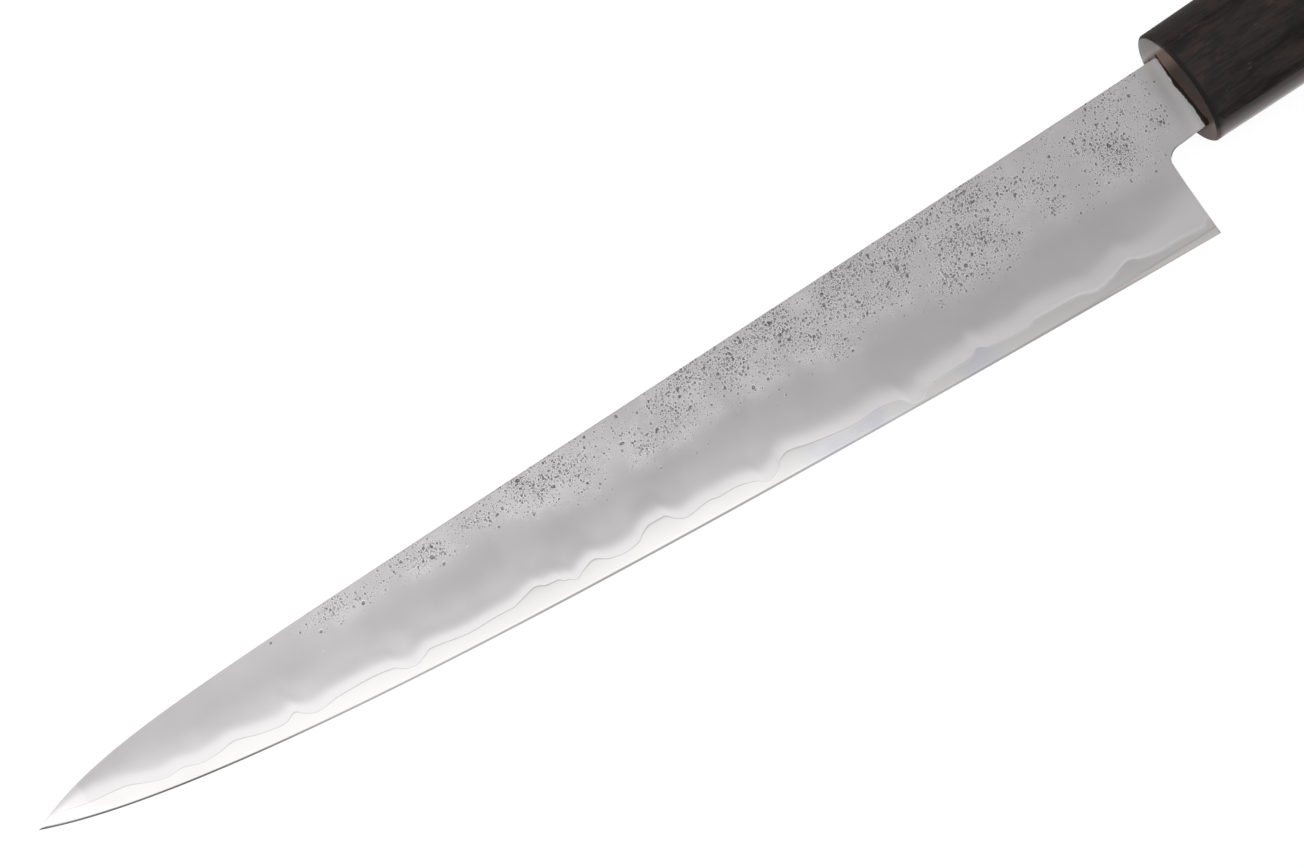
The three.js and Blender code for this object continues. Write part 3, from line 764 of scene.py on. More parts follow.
def plate_mesh(name, rows, steel, patches, pits, side):
    """One cladding plate. Side is 1 for the left face and -1 for the right one."""
    form = rows.form
    size = form.size
    end = rows.clad_end
    crowns = rows.crowns[:end]
    lines = rows.lines[:end]
    clad = rows.bare[:end, None] == 0
    reach = np.linalg.norm(lines - crowns, axis=1)[:, None]

    ease_rows = np.array(EASE_ROWS) * np.minimum(1.0, reach / EASE_REACH)
    below = np.arange(1, FACE_ROWS + 1) / FACE_ROWS
    down = np.hstack((ease_rows, lerp(ease_rows[:, -1:], reach, below)))
    share = down / np.maximum(reach, 1e-9)
    x = lerp(crowns[:, 0:1], lines[:, 0:1], share)
    y = lerp(crowns[:, 1:2], lines[:, 1:2], share)
    above_line = reach - down
    rubbed = np.where(clad, 0.0, above_line / (size.rub_reach * read_off(RUB_REACH, x)))
    swell = size.rub_height * rubbed * np.exp((1 - rubbed * rubbed) / 2)
    swell *= rise(x - form.heel_x, SWELL_BEGINS) * rise(reach, SWELL_HEIGHT)
    half = form.face_half(x, y) + swell

    depth = y - form.spine_y(x)
    outside = rise(x, SKIN_BEGINS)
    sunk, stain = press_pits(pits, steel, x, depth)
    sunk *= rise(above_line, DENT_OFF_LINE) * rise(down, DENT_OFF_SPINE) * outside
    skin = np.maximum(half[:, 0] - rows.top_half[:end], 0.0)[:, None]
    drawn = quarter_round(down, np.minimum(size.spine_ease, skin * EASE_SHARE))
    line_y = size.heel_depth - form.line_height(form.heel_x)
    choil_ease = size.choil_ease * np.clip((line_y - lines[:, 1:2]) / MM, 0.0, 1.0)
    drawn += quarter_round(above_line, np.where(clad, choil_ease, 0.0))
    outer = np.stack((x, y, side * (half - sunk - drawn)), axis=-1)
    joint_line = np.column_stack((lines, side * rows.line_half[:end]))
    joint_top = np.column_stack((crowns, side * rows.top_half[:end]))
    outer[:, -1] = np.where(clad, outer[:, -1], joint_line)
    rings = np.concatenate((joint_line[:, None], joint_top[:, None], outer), axis=1)

    band = read_off(PITTED_BAND, x) * MM
    forged = 1.0 - smooth(depth, *scaled(BAND_FADES, band))
    forged *= FORGED_SHARE * fall(x, FORGED_ENDS)
    glow = 1.0 - np.exp(-PATCH_GLOW * crowding(patches, x, depth, GLOW_SPREAD))
    weaker = lerp(1.0, FRINGE_LEFT, rise(x, FRINGE_WEAKENS))
    shaded = rise(above_line, SHADED_FOOT) * fall(above_line, SHADED_TOP)
    marks = {
        "pit": stain * outside,
        "crowd": crowding(patches, x, depth) * outside,
        "forged": (1.0 - (1.0 - forged) * (1.0 - glow)) * outside,
        "haze": ~clad * fall(above_line, HAZE_TOP) * fall(x, HAZE_ENDS),
        "burr": ~clad * fall(above_line, BURR_TOP) * fall(x, BURR_ENDS),
        "fringe": ~clad * fall(above_line, FRINGE_TOP) * rise(x, FRINGE_BEGINS) * weaker,
        "shaded": ~clad * shaded * rise(x, SHADED_BEGINS) * fall(x, SHADED_ENDS),
        "matt": fall(x, MATT_ENDS),
        "scour_and_painted_light": fall(x, SCOUR_AND_LIGHT_ENDS),
        "entry": np.clip(x / MM - read_off(SLOT_SHADOW_END, y), -2.0, 3.0),
    }
    hidden = np.zeros((end, 2))
    marks = {label: np.hstack((hidden, values)) for label, values in marks.items()}
    return mesh_of_rings(name, rings, marks, blade_place(form), caps=(0,))


def core_mesh(name, rows):
    """The core: bare from the edge to the cladding line, and hidden between the plates above it."""
    form = rows.form
    size = form.size
    feet, lines = rows.feet, rows.lines
    bare = rows.bare[:, None]
    reach = np.linalg.norm(lines - feet, axis=1)[:, None]
    bevel = np.minimum(size.bevel_height, reach / 3)
    upper = bevel + (reach - bevel) * np.linspace(0.0, 1.0, BARE_ROWS)
    up = np.hstack((bevel * 0.0, bevel * 0.5, upper))
    share = up / np.maximum(reach, 1e-9)
    x = lerp(feet[:, 0:1], lines[:, 0:1], share)
    y = lerp(feet[:, 1:2], lines[:, 1:2], share)
    half = np.where(bare > 0, form.face_half(x, y), rows.line_half[:, None])
    half[:, -1] = rows.line_half
    side = np.stack((x, y, half), axis=-1)
    top = np.column_stack((rows.crowns, rows.top_half))[:, None]
    left = np.concatenate((side, top), axis=1)
    right = left[:, ::-1] * (1.0, 1.0, -1.0)
    rings = np.concatenate((left, right), axis=1)

    partly = (bare > 0) & (bare < 1)
    below_line = reach - up
    narrowed = np.clip((x - form.heel_x) / (HONED_NARROWS * MM), 0.0, 1.0)
    strip = bevel * lerp(HONED_BEVELS, 1.0, narrowed)
    strip_top, above_strip = scaled(HONED_FADES, strip)
    fresh = fall(below_line, FRESH_DEPTH) * lerp(FRESH_LEFT, 1.0, rise(x, FRESH_GROWS))
    marks = {
        "line": partly * fall(below_line, SEAM_DEPTH) * rise(x, SEAM_BEGINS),
        "fresh": partly * fresh * fall(x, FRESH_ENDS),
        "honed": 1.0 - smooth(up, strip_top, above_strip + 1e-6),
        "scored": bell(up - strip, 0, SCORED_WIDTH) * fall(x, SCORED_ENDS),
        "along": form.along(x),
    }
    hidden = np.zeros((len(feet), 2))
    marks = {label: np.hstack((v, hidden, v[:, ::-1])) for label, v in marks.items()}
    return mesh_of_rings(name, rings, marks, blade_place(form), caps=(0,))


class Level:
    """A number or colour that a node tree works out. Numbers are reckoned with as usual."""

    def __init__(self, nodes, socket):
        self.nodes = nodes
        self.socket = socket

    def __add__(self, other):
        return self.nodes.math("ADD", self, other)

    def __sub__(self, other):
        return self.nodes.math("SUBTRACT", self, other)

    def __rsub__(self, other):
        return self.nodes.math("SUBTRACT", other, self)

    def __mul__(self, other):
        return self.nodes.math("MULTIPLY", self, other)

    def __truediv__(self, other):
        return self.nodes.math("DIVIDE", self, other)

    __radd__ = __add__
    __rmul__ = __mul__

    def over(self, other):
        """The larger of two numbers."""
        return self.nodes.math("MAXIMUM", self, other)

    def ramp(self, low, high, start=0.0, end=1.0):
        """Goes softly from start to end while this number goes from low to high."""
        labels = ("Value", "From Min", "From Max", "To Min", "To Max")
        inputs = dict(zip(labels, (self, low, high, start, end)))
        made = self.nodes.add("ShaderNodeMapRange", inputs, interpolation_type="SMOOTHSTEP")
        return Level(self.nodes, made.outputs["Result"])

    def hump(self, low, high, high_end, low_end):
        """Goes softly from 0 to 1 and back."""
        return self.ramp(low, high) * self.ramp(high_end, low_end, 1.0, 0.0)


class Nodes:
    """A node tree, with short calls for the nodes that the finishes and the light need."""

    def __init__(self, tree):
        self.tree = tree

    def add(self, kind, inputs=(), **settings):
        made = self.tree.nodes.new(kind)
        for key, value in settings.items():
            setattr(made, key, value)
        for key, value in dict(inputs).items():
            self.put(value, made.inputs[key])
        return made

    def put(self, value, socket):
        """Feeds a socket from a level or another socket, or sets it to a number or colour."""
        source = value.socket if isinstance(value, Level) else value
        if isinstance(source, bpy.types.NodeSocket):
            self.tree.links.new(source, socket)
        elif socket.type == "RGBA":
            socket.default_value = (*source, 1.0)
        else:
            socket.default_value = source

    def math(self, operation, first, second):
        made = self.add("ShaderNodeMath", {0: first, 1: second}, operation=operation)
        return Level(self, made.outputs[0])

    def mix(self, share, first, second):
        """Goes from the first colour to the second."""
        made = self.add("ShaderNodeMix", {"Factor": share}, data_type="RGBA")
        colours = [socket for socket in made.inputs if socket.type == "RGBA"]
        for value, socket in zip((first, second), colours):
            self.put(value, socket)
        return Level(self, [socket for socket in made.outputs if socket.type == "RGBA"][0])

    def clouded(self, cloud, colour, *tones):
        """A colour that a noise takes from one tone to another."""
        return self.mix(cloud.ramp(*NOISE_SPAN), *[scaled(colour, tone) for tone in tones])

    def coats(self, colour, rows):
        """Lays colours over each other: how much of each, and the colour."""
        for share, coat in rows:
            colour = self.mix(share, colour, coat)
        return colour

    def attributes(self, *names):
        """Numbers that the mesh holds for each of its points."""
        made = [self.add("ShaderNodeAttribute", attribute_name=name) for name in names]
        return [Level(self, node.outputs["Fac"]) for node in made]

    def place(self, stretch=(1, 1, 1)):
        """The point on the object, in metres, stretched by a scale for each axis."""
        point = self.add("ShaderNodeTexCoord").outputs["Object"]
        made = self.add("ShaderNodeMapping", {"Vector": point, "Scale": stretch})
        return made.outputs["Vector"]

    def noise(self, scale, detail, stretch=(1, 1, 1), roughness=0.5, distortion=0.0):
        labels = ("Vector", "Scale", "Detail", "Roughness", "Distortion")
        values = (self.place(stretch), scale, detail, roughness, distortion)
        made = self.add("ShaderNodeTexNoise", dict(zip(labels, values)))
        return Level(self, made.outputs["Fac"])

    def scratches(self):
        """Fine scratches along the blade."""
        return self.noise(1, 3, (60, 5200, 60), 0.6)

    def cells(self, cell):
        """Scattered points: the distance to the nearest one, and three random numbers for it.

        The distance is in cells, and uneven, so that round outlines come out ragged.
        """
        place = self.place()
        ragged = self.add("ShaderNodeTexNoise", {"Vector": place, "Scale": 2600})
        inputs = {0: ragged.outputs["Color"], 1: (0.2 * MM,) * 3, 2: place}
        moved = self.add("ShaderNodeVectorMath", inputs, operation="MULTIPLY_ADD").outputs[0]
        inputs = {"Vector": moved, "Scale": 1 / cell}
        made = self.add("ShaderNodeTexVoronoi", inputs, voronoi_dimensions="2D")
        split = self.add("ShaderNodeSeparateColor", {0: made.outputs["Color"]})
        return [Level(self, socket) for socket in (made.outputs["Distance"], *split.outputs)]

    def bump(self, height, distance):
        made = self.add("ShaderNodeBump", {"Height": height, "Distance": distance})
        return made.outputs["Normal"]


class Finish(Nodes):
    """A material with a node tree."""

    def __init__(self, name):
        self.material = bpy.data.materials.new(name)
        self.material.use_nodes = True
        super().__init__(self.material.node_tree)
        self.surface = self.tree.nodes["Principled BSDF"]

    def done(self, inputs):
        for key, value in inputs.items():
            self.put(value, self.surface.inputs[key])
        return self.material


def small_pits(finish, wanted, cell, smallest, largest):
    """Pits of one range of radii: their stain, their hollow and a bright rim around them, a painted
    highlight on their lips.

    Cell is their spacing, and wanted the share of the cells that hold a pit.
    """
    away, chance, width, tone = finish.cells(cell)
    there = finish.math("GREATER_THAN", wanted, chance)
    away = away / width.ramp(0, 1, smallest / cell, largest / cell)
    disc = away.ramp(0.75, 1.05, 1, 0) * there
    depth = away.ramp(0.1, 0.7, 0.5, 1) * tone.ramp(0, 1, 0.35, 1)
    rim = away.hump(0.95, 1.2, 1.4, 2)
    return disc * depth, disc, rim * there


def cladding_finish(steel):
    """Soft steel: satin below, forged, pitted and rougher along the spine."""
    finish = Finish("cladding_steel")
    bowl, crowd, forged, haze, burr, fringe, shaded, matt, scour_and_painted_light, entry = finish.attributes(
        "pit", "crowd", "forged", "haze", "burr", "fringe", "shaded", "matt", "scour_and_painted_light", "entry"
    )
    cloud = finish.noise(95, 4)
    clump = finish.noise(300, 3).ramp(0.42, 0.62)
    mottle = finish.noise(1900, 2).ramp(0.5, 0.7, 0, 0.45)
    grains = finish.noise(2300, 2).ramp(0.52, 0.7, 0, 0.6)
    forged = forged * finish.noise(130, 3).ramp(0.38, 0.6, 0.45, 1)
    around = forged * clump
    worn = forged * clump.over(crowd.ramp(0.2, 1.6))

    wanted = crowd * steel.pits_in_patch + around * steel.stray_pits
    stain, hollow, rim = small_pits(finish, wanted, *SMALL_PITS)
    wanted = crowd * steel.specks_in_patch + around * steel.stray_specks
    speck, dent, glint = small_pits(finish, wanted, *SPECKS)
    pit = bowl.ramp(0.3, 0.6) * bowl.ramp(0.7, 1, 1, 0.35)
    marks = (speck * 0.85).over(stain.over(pit))

    # How much of each tone lies over the plain steel, and how bright it is against it
    tones = (
        (forged * 0.7, 1.15),
        (crowd.ramp(0.2, 1.5, 0, 0.45), 0.78),
        (worn * mottle, 0.72),
        (worn * grains, 1.35),
        # Painted highlight: bright rings around the pits and specks
        (rim.over(glint) * 0.75, 1.4),
        # Painted light: the cladding next to the ferrule is lighter where the handle shades the neck
        (scour_and_painted_light, 1.6),
        (shaded * 0.42, 0.84),
        (haze * 0.42, 1.25),
        (fringe * 0.5, 0.86),
        (burr * 0.45, 1.3),
    )
    skin = finish.clouded(cloud, steel.cladding, 0.98, 1.02)
    skin = finish.coats(skin, [(share, scaled(steel.cladding, tone)) for share, tone in tones])
    # Painted shadow on the neck at the mouth of the slot, with a ragged edge
    painted_slot_shadow = (entry + finish.noise(520, 3).ramp(*NOISE_SPAN, 0.14, -0.14)).ramp(-0.1, 0.1, 1, 0)
    colour = finish.coats(skin, ((marks * 0.92, steel.stain), (painted_slot_shadow, steel.painted_slot_shadow)))

    rough = steel.satin + forged * (steel.forged - steel.satin) + worn * 0.08
    rough += cloud.ramp(*NOISE_SPAN, -0.01, 0.01)
    rough += marks * 0.15 + haze * 0.12 + matt * 0.2 + scour_and_painted_light * 0.35
    pebbles = finish.noise(1100, 3) * worn
    height = pebbles * 0.35 - (hollow + dent * 0.5) * 0.7 + finish.scratches() * 0.006
    normal = finish.bump(height, 0.05 * MM)
    return finish.done(
        {"Base Color": colour, "Metallic": 1.0, "Roughness": rough, "Normal": normal}
    )


def core_finish(steel):
    """Hard core steel: bright, painted darker near the heel as painted shade, with a matt seam at the
    cladding.
    """
    finish = Finish("core_steel")
    line, fresh, honed, scored, along = finish.attributes(
        "line", "fresh", "honed", "scored", "along"
    )
    cloud = finish.noise(120, 4)
    # Painted shade: the core turns greyer towards the heel
    heel_shade = along.ramp(0.05, 0.28, 1, 0) * along.ramp(0, 0.08, 0.5, 1)
    blue = along.hump(0.18, 0.205, 0.21, 0.235) + along.hump(0.26, 0.3, 0.33, 0.37)
    blue *= finish.noise(160, 3).ramp(0.35, 0.6, 0.2, 1)
    coats = (
        (along.hump(0.37, 0.42, 0.47, 0.54) * 0.6, scaled(steel.core, 1.08)),
        (heel_shade, steel.heel_shade_tone),
        (blue * 0.75, steel.blueing),
        (honed * along.ramp(0.04, 0.16, 0.8, 0), steel.rust),
        (scored * 0.4, steel.score),
        (fresh, scaled(steel.core, 1.15)),
        (line * 0.3, steel.seam),
    )
    colour = finish.coats(finish.clouded(cloud, steel.core, 0.98, 1.02), coats)
    rough = steel.mirror + line * 0.04 + cloud.ramp(*NOISE_SPAN, -0.01, 0.02)
    normal = finish.bump(finish.scratches(), 0.0004 * MM)
    return finish.done(
        {"Base Color": colour, "Metallic": 1.0, "Roughness": rough, "Normal": normal}
    )


def wood_finish(handle, name, warmth):
    """Dark close-grained wood. Warmth takes it from near black towards brown."""
    finish = Finish(name)
    bands = finish.noise(1, 4, (95, 330, 330), 0.62, 0.9)
    fibres = finish.noise(1, 3, (170, 1700, 1700), 0.65)
    streaks = finish.noise(1, 4, (210, 560, 560), 0.7)
    pore = finish.noise(1, 1, (260, 3800, 3800)).ramp(0.68, 0.76)
    fleck = finish.noise(1, 1, (420, 1500, 1500)).ramp(0.735, 0.79, 0, 0.6)
    scorched, sanded, worn, dull, ends, flank_sheen, warm, vein = finish.attributes(
        "scorch", "sanded", "worn", "dull", "ends", "flank_sheen", "warm", "vein"
    )
    grain = fibres * 0.5 + bands * 0.7
    banding = grain.ramp(0.5, 0.74)
    polished = sanded * ends
    charred = scorched + streaks.ramp(*NOISE_SPAN, -0.12, 0.12)
    red = streaks.ramp(0.48, 0.7, 0, 0.5) * bands.ramp(0.38, 0.62)
    banded_red = [scaled(handle.red_streak, tone) for tone in (0.7, 1.3)]
    coats = (
        (red, scaled(handle.red_streak, 1 + warmth)),
        (vein * bands.ramp(0.3, 0.6, 1, 0.4) * 0.85, handle.dark_wood),
        (pore * 0.6, PORE),
        (fleck, FLECK),
        (sanded * 0.8, handle.end_grain),
        (scorched.ramp(0, 0.5), handle.scorch),
        (sanded * warm * 0.8, handle.pale_grain),
        (polished, scaled(handle.end_grain, 1.6)),
        # Worn here is the char-coloured line along the ferrule's rim: painted shade
        (worn, handle.char),
        # Painted reflection: the flank on the edge side is lighter and reddish
        (flank_sheen, finish.mix(banding, *banded_red)),
        (charred.ramp(0.72, 0.82), handle.char),
    )
    plain = finish.mix(banding, handle.dark_wood, scaled(handle.brown_wood, 1 + warmth))
    rough = grain.ramp(0.4, 0.8, 0.12, 0.2) + pore * 0.2 + scorched * 0.2
    rough += dull * 0.55 + (sanded - polished) * 0.55 + worn * 0.5
    return finish.done(
        {
            "Base Color": finish.coats(plain, coats),
            "Roughness": rough,
            "IOR": 1.43,
            "Specular Tint": GLOSS_TINT,
            "Coat Weight": flank_sheen * 0.3 + polished,
            "Coat Roughness": 0.12,
            "Coat IOR": 1.5,
            "Normal": finish.bump(fibres * 0.35 - pore, 0.006 * MM),
        }
    )


def resin_finish(handle):
    """Cast resin, cloudy and slightly uneven."""
    finish = Finish("bedding_resin")
    cloud = finish.noise(420, 4)
    colour = finish.clouded(cloud, handle.resin, 0.75, 1.15)
    rough = cloud.ramp(*NOISE_SPAN, 0.4, 0.6)
    normal = finish.bump(cloud, 0.1 * MM)
    return finish.done({"Base Color": colour, "Roughness": rough, "Normal": normal})


class HandleForm:
    """The oval handle: rings across its axis, as points of x, y and z in metres."""

    def __init__(self, handle, blade):
        self.size = handle
        self.turn = np.linspace(0.0, 2 * math.pi, OVAL_STEPS, endpoint=False)
        self.tenon_front = -(handle.ferrule_length - handle.tenon_length)
        self.mouth_height = blade.spine_height + blade.neck_depth + 2 * handle.mouth_gap
        self.mouth_middle = (blade.neck_depth - blade.spine_height) / 2
        self.mouth_width = blade.neck_top + 2 * handle.mouth_side
        self.hole_height = blade.tang_height + 2 * handle.hole_gap
        self.hole_back = -(blade.tang_length + handle.hole_end)

    def loop(self, x, height, width, middle, slant, squareness):
        """An oval, or a rectangle with rounded corners where the squareness is below 1."""
        cosine, sine = np.cos(self.turn), np.sin(self.turn)
        y = middle + height / 2 * np.sign(cosine) * np.abs(cosine) ** squareness
        z = width / 2 * np.sign(sine) * np.abs(sine) ** squareness
        return np.stack((x - y * math.tan(slant), y, z), axis=1)

    def oval(self, x, height, width, middle=0.0, slant=0.0):
        return self.loop(x, height, width, middle, slant, 1.0)

    def slot(self, x, height, width, middle, slant=0.0):
        return self.loop(x, height, width, middle, slant, SLOT_SQUARENESS)

    def outside(self, x, inset=0.0, slant=0.0):
        """The handle's own oval, which widens evenly from the ferrule's face to the butt."""
        size = self.size
        back = -x / size.length
        height = lerp(size.front_height, size.butt_height, back) - 2 * inset
        width = lerp(size.front_width, size.butt_width, back) - 2 * inset
        return self.oval(x, height, width, x * math.tan(size.lean), slant)

    def burnt_edge(self, points, amount):
        """A slot's outline made ragged where the hot tang burnt it, most at the edge side."""
        y, z = points[:, 1], points[:, 2]
        waves = sum(tall * np.sin(y / (long * MM) + start) for tall, long, start in CHAR_WAVES)
        corners = 0.3 * rise(y, WIDE_AT_EDGE) + 0.8 * rise(-y, WIDE_AT_SPINE)
        down = (y - self.mouth_middle) / self.mouth_height
        push = (waves + corners + SLOT_TAPER * down) * amount * (np.abs(down) < SLOT_SIDES)
        moved = points.copy()
        moved[:, 0] -= SLOT_LEAN * MM * amount * down
        moved[:, 2] += np.sign(z) * np.maximum(push, SLOT_NARROWEST) * MM
        return moved


def handle_mesh(name, rings, marks, place, **ends):
    """A mesh over rings of the handle, marked where its wood is dull, polished, warm or veined."""
    rings = np.array(rings)
    y, z = rings[..., 1], rings[..., 2]
    whole = marks.get("sanded", 0.0) == 0
    marks = {
        **marks,
        "dull": rise(-y, DULL_SPINE),
        "ends": 0.8 * rise(-y, POLISHED_SPINE) + 0.15 * rise(y, POLISHED_EDGE),
        "flank_sheen": rise(y, FLANK_EDGE) * rise(z, FLANK_TOP) * whole,
        "warm": rise(-y, WARM_SPINE) + 0.45 * rise(y, POLISHED_EDGE),
        "vein": bell(y, *VEIN) * (z > 0),
    }
    return mesh_of_rings(name, rings, marks, place, **ends)


def ferrule_mesh(name, form, place):
    """The ferrule: out of the slot, over the front face, along the outside and into the socket."""
    size = form.size
    slant = size.front_slant
    rings = []

    def ring(points, scorch=0.0, sanded=0.0, worn=0.0):
        rings.append((points, scorch, sanded, worn))

    back = form.tenon_front + size.tenon_gap
    tight = form.mouth_height - SLOT_TIGHT * size.mouth_gap
    for x, height, ragged in (
        (back, form.mouth_height, 0.0),
        (-6 * MM, form.mouth_height, 0.0),
        (-2 * MM, tight, 0.7),
        (-0.3 * MM, tight, 0.9),
    ):
        plain = form.slot(x, height, form.mouth_width, form.mouth_middle, slant)
        ring(form.burnt_edge(plain, ragged), 1.0)
    mouth = form.slot(0.0, tight, form.mouth_width + 0.2 * MM, form.mouth_middle, slant)
    mouth = form.burnt_edge(mouth, 1.0)
    beside = smooth(np.abs(mouth[:, 2]) / form.mouth_width, 0.25, 0.45)
    charred = sum(bell(mouth[:, 1], *corner) for corner in CHARRED_CORNERS) * beside
    ring(mouth, lerp(0.5, 0.95, beside), 1.0)
    rim = form.outside(0.0, size.rim_ease, slant)
    for share, burnt in FACE_RINGS:
        blot = charred * (1.0 - smooth(share, 0.1, 0.3))
        ring(lerp(mouth, rim, share), np.maximum(burnt * lerp(0.6, 1.0, beside), blot), 1.0)
    # Painted shade: a dark line along the rim and just behind it, missing at the spine end, wider at the
    # edge side
    rubbed = rise(rim[:, 1], RIM_SHADE_SPINE)
    edge_rim_shade = rise(rim[:, 1], RIM_SHADE_EDGE)
    for share, sanded in RIM_RINGS:
        bulge = 0.3 * share * (1 - share)
        x = -size.rim_ease * (share - bulge)
        oval = form.outside(x, size.rim_ease * (1 - share - bulge), slant)
        ring(oval, 0.0, sanded, smooth(share, 0.0, 0.2) * rubbed)
    for behind, worn in ((0.1 * MM, rubbed * 0.8), (0.5 * MM, edge_rim_shade * 0.5)):
        ring(form.outside(-size.rim_ease - behind, 0.0, slant), worn=worn)
    joint = -size.ferrule_length
    for share in np.linspace(0.0, 1.0, FERRULE_STEPS)[1:]:
        x = lerp(-size.rim_ease, joint + size.joint_ease, share)
        ring(form.outside(x, 0.0, slant * (1 - share)))
    ring(form.outside(joint + size.joint_ease * 0.3, size.joint_ease * 0.3))
    ring(form.outside(joint, size.joint_ease))
    socket = (size.tenon_height + 2 * size.tenon_gap, size.tenon_width + 2 * size.tenon_gap)
    ring(form.oval(joint, *socket))
    ring(form.oval(back, *socket))
    ovals, *columns = zip(*rings)
    marks = {
        label: np.array([np.broadcast_to(value, OVAL_STEPS) for value in column])
        for label, column in zip(("scorch", "sanded", "worn"), columns)
    }
    return handle_mesh(name, ovals, marks, place, looped=True)


def body_mesh(name, form, place):
    """The handle's body: out of the tang's hole, over the tenon and along to the butt."""
    size = form.size
    joint = -size.ferrule_length
    butt = -size.length
    rings = [
        form.slot(form.hole_back, form.hole_height, form.mouth_width, 0.0),
        form.slot(form.tenon_front, form.hole_height, form.mouth_width, 0.0),
        form.oval(form.tenon_front, size.tenon_height, size.tenon_width),
        form.oval(joint, size.tenon_height, size.tenon_width),
        form.outside(joint, size.joint_ease),
        form.outside(joint - size.joint_ease * 0.3, size.joint_ease * 0.3),
    ]
    for x in np.linspace(joint - size.joint_ease, butt + size.butt_round, GRIP_STEPS):
        rings.append(form.outside(x))
    for angle in np.linspace(0.0, math.pi / 2, BUTT_STEPS)[1:]:
        x = butt + size.butt_round * (1 - math.sin(angle))
        rings.append(form.outside(x, size.butt_round * (1 - math.cos(angle))))
    edge = rings[-1]
    for share in (0.25, 0.5, 0.75):
        rings.append(lerp(edge, edge.mean(axis=0), share))
    return handle_mesh(name, rings, {}, place, caps=(0, -1))


def studio_world(stage):
    """Even light from above, brighter round the horizon, with one soft panel over the edge side."""
    world = bpy.data.worlds.new("studio")
    world.use_nodes = True
    bpy.context.scene.world = world
    sky = Nodes(world.node_tree)
    direction = sky.add("ShaderNodeTexCoord").outputs["Generated"]
    split = sky.add("ShaderNodeSeparateXYZ", {0: direction})
    along, across, up = [Level(sky, socket) for socket in split.outputs]

    # The ceiling grows brighter towards the tip, and is dimmer far behind the handle.
    light = along.ramp(-0.3, 0.35, stage.overhead, stage.overhead + 0.18)
    light *= along.ramp(-0.42, -0.31, 0.7, 1)
    # The panel's near edge slants, and is drawn back a little over the blade.
    edge = along.over(-0.14) * 0.18 + across - along.hump(0.03, 0.1, 0.16, 0.24) * 0.008
    faint = along.ramp(-0.31, -0.2, 0.14, 0.4)
    full = along.ramp(-0.14, -0.02, 0, 0.6) * along.ramp(0.18, 0.34, 1, 0.8)
    light += edge.ramp(0.093, 0.142) * (faint + full) * (stage.panel - stage.overhead)
    # The spine side is brighter, most of all towards the tip. A faint dim band lies before the
    # panel, and a bright wall far ahead of the tip.
    spine_side = across.ramp(-0.01, 0.055, 1, 0) * along.ramp(0.04, 0.17, 0.07, 0.24)
    light *= spine_side * along.ramp(0.23, 0.3, 1, 0.4) + 1
    trough = across.hump(0.02, 0.055, 0.07, 0.1) * along.hump(-0.12, -0.05, 0.05, 0.11)
    light *= 1 - trough * 0.1
    light += along.ramp(0.356, 0.376, 0, 0.3) * across.ramp(0.2, 0.26, 1, 0)
    # The panel's far side is dimmer, most of all ahead of the tip, and so is the corner behind
    # the handle.
    dim = along.ramp(-0.1, 0.02, 0.33, 0.61) + along.ramp(0.1, 0.17, 0, -0.08)
    dim = (dim + along.ramp(0.25, 0.33, 0, 0.31)) * along.ramp(-0.27, -0.2)
    light *= 1 - across.ramp(0.26, 0.34) * dim
    light *= 1 - across.hump(0.16, 0.3, 0.6, 0.78) * along.ramp(-0.33, -0.3, 0.5, 0)
    light *= up.ramp(0.15, 0.8, stage.sides, 1)
    light += up.ramp(-0.01, 0.02, 1, 0) * (stage.surround - light)
    background = sky.tree.nodes["Background"]
    sky.put(light, background.inputs["Strength"])
    sky.put((1.0, 1.0, 1.0), background.inputs["Color"])


def floor_finish(stage):
    """White floor that still takes a faint shadow."""
    finish = Finish("floor_white")
    finish.tree.nodes.remove(finish.surface)
    matte = finish.add("ShaderNodeBsdfDiffuse", {"Color": (stage.floor_shade,) * 3})
    path = finish.add("ShaderNodeLightPath")
    camera, glossy, through = [
        Level(finish, path.outputs[f"Is {kind} Ray"])
        for kind in ("Camera", "Glossy", "Transmission")
    ]
    seen = camera.over(glossy).over(through)
    glow = finish.add("ShaderNodeEmission", {"Strength": seen * stage.floor_white})
    both = finish.add("ShaderNodeAddShader", {0: matte.outputs[0], 1: glow.outputs[0]})
    finish.put(both.outputs[0], finish.tree.nodes["Material Output"].inputs["Surface"])
    return finish.material


def lay_floor(stage, handle, form):
    """A floor under the knife as it lies: on the lower rim of the ferrule's front and on the nose."""
    front_x, _, axis_z = blade_place(form)
    rest_z = axis_z - handle.front_width / 2
    x = np.linspace(form.heel_x, form.tip_x, 1000)
    slope = float(np.min((handle.front_width / 2 - form.spine_half(x)) / x))
    clear = 0.05 * MM
    half = stage.floor_reach / 2
    corners = [(sx * half, sy * half) for sx, sy in ((-1, -1), (1, -1), (1, 1), (-1, 1))]
    points = [(x, y, rest_z + slope * (x - front_x) - clear) for x, y in corners]
    mesh = bpy.data.meshes.new("floor")
    mesh.from_pydata(points, [], [(0, 1, 2, 3)])
    mesh.materials.append(floor_finish(stage))
    floor = bpy.data.objects.new("floor", mesh)
    bpy.context.scene.collection.objects.link(floor)


def set_camera(stage, form):
    """The camera looks straight down on the blade, with the picture turned about the vertical."""
    data = bpy.data.cameras.new("camera")
    data.sensor_width = 36.0
    data.lens = stage.lens
    data.clip_start = 0.01
    camera = bpy.data.objects.new("camera", data)
    away = np.array((stage.camera_x, stage.camera_y, stage.camera_height))
    camera.location = (blade_place(form) + away).tolist()
    camera.rotation_euler = (0.0, 0.0, stage.camera_turn)
    bpy.context.scene.collection.objects.link(camera)
    bpy.context.scene.camera = camera


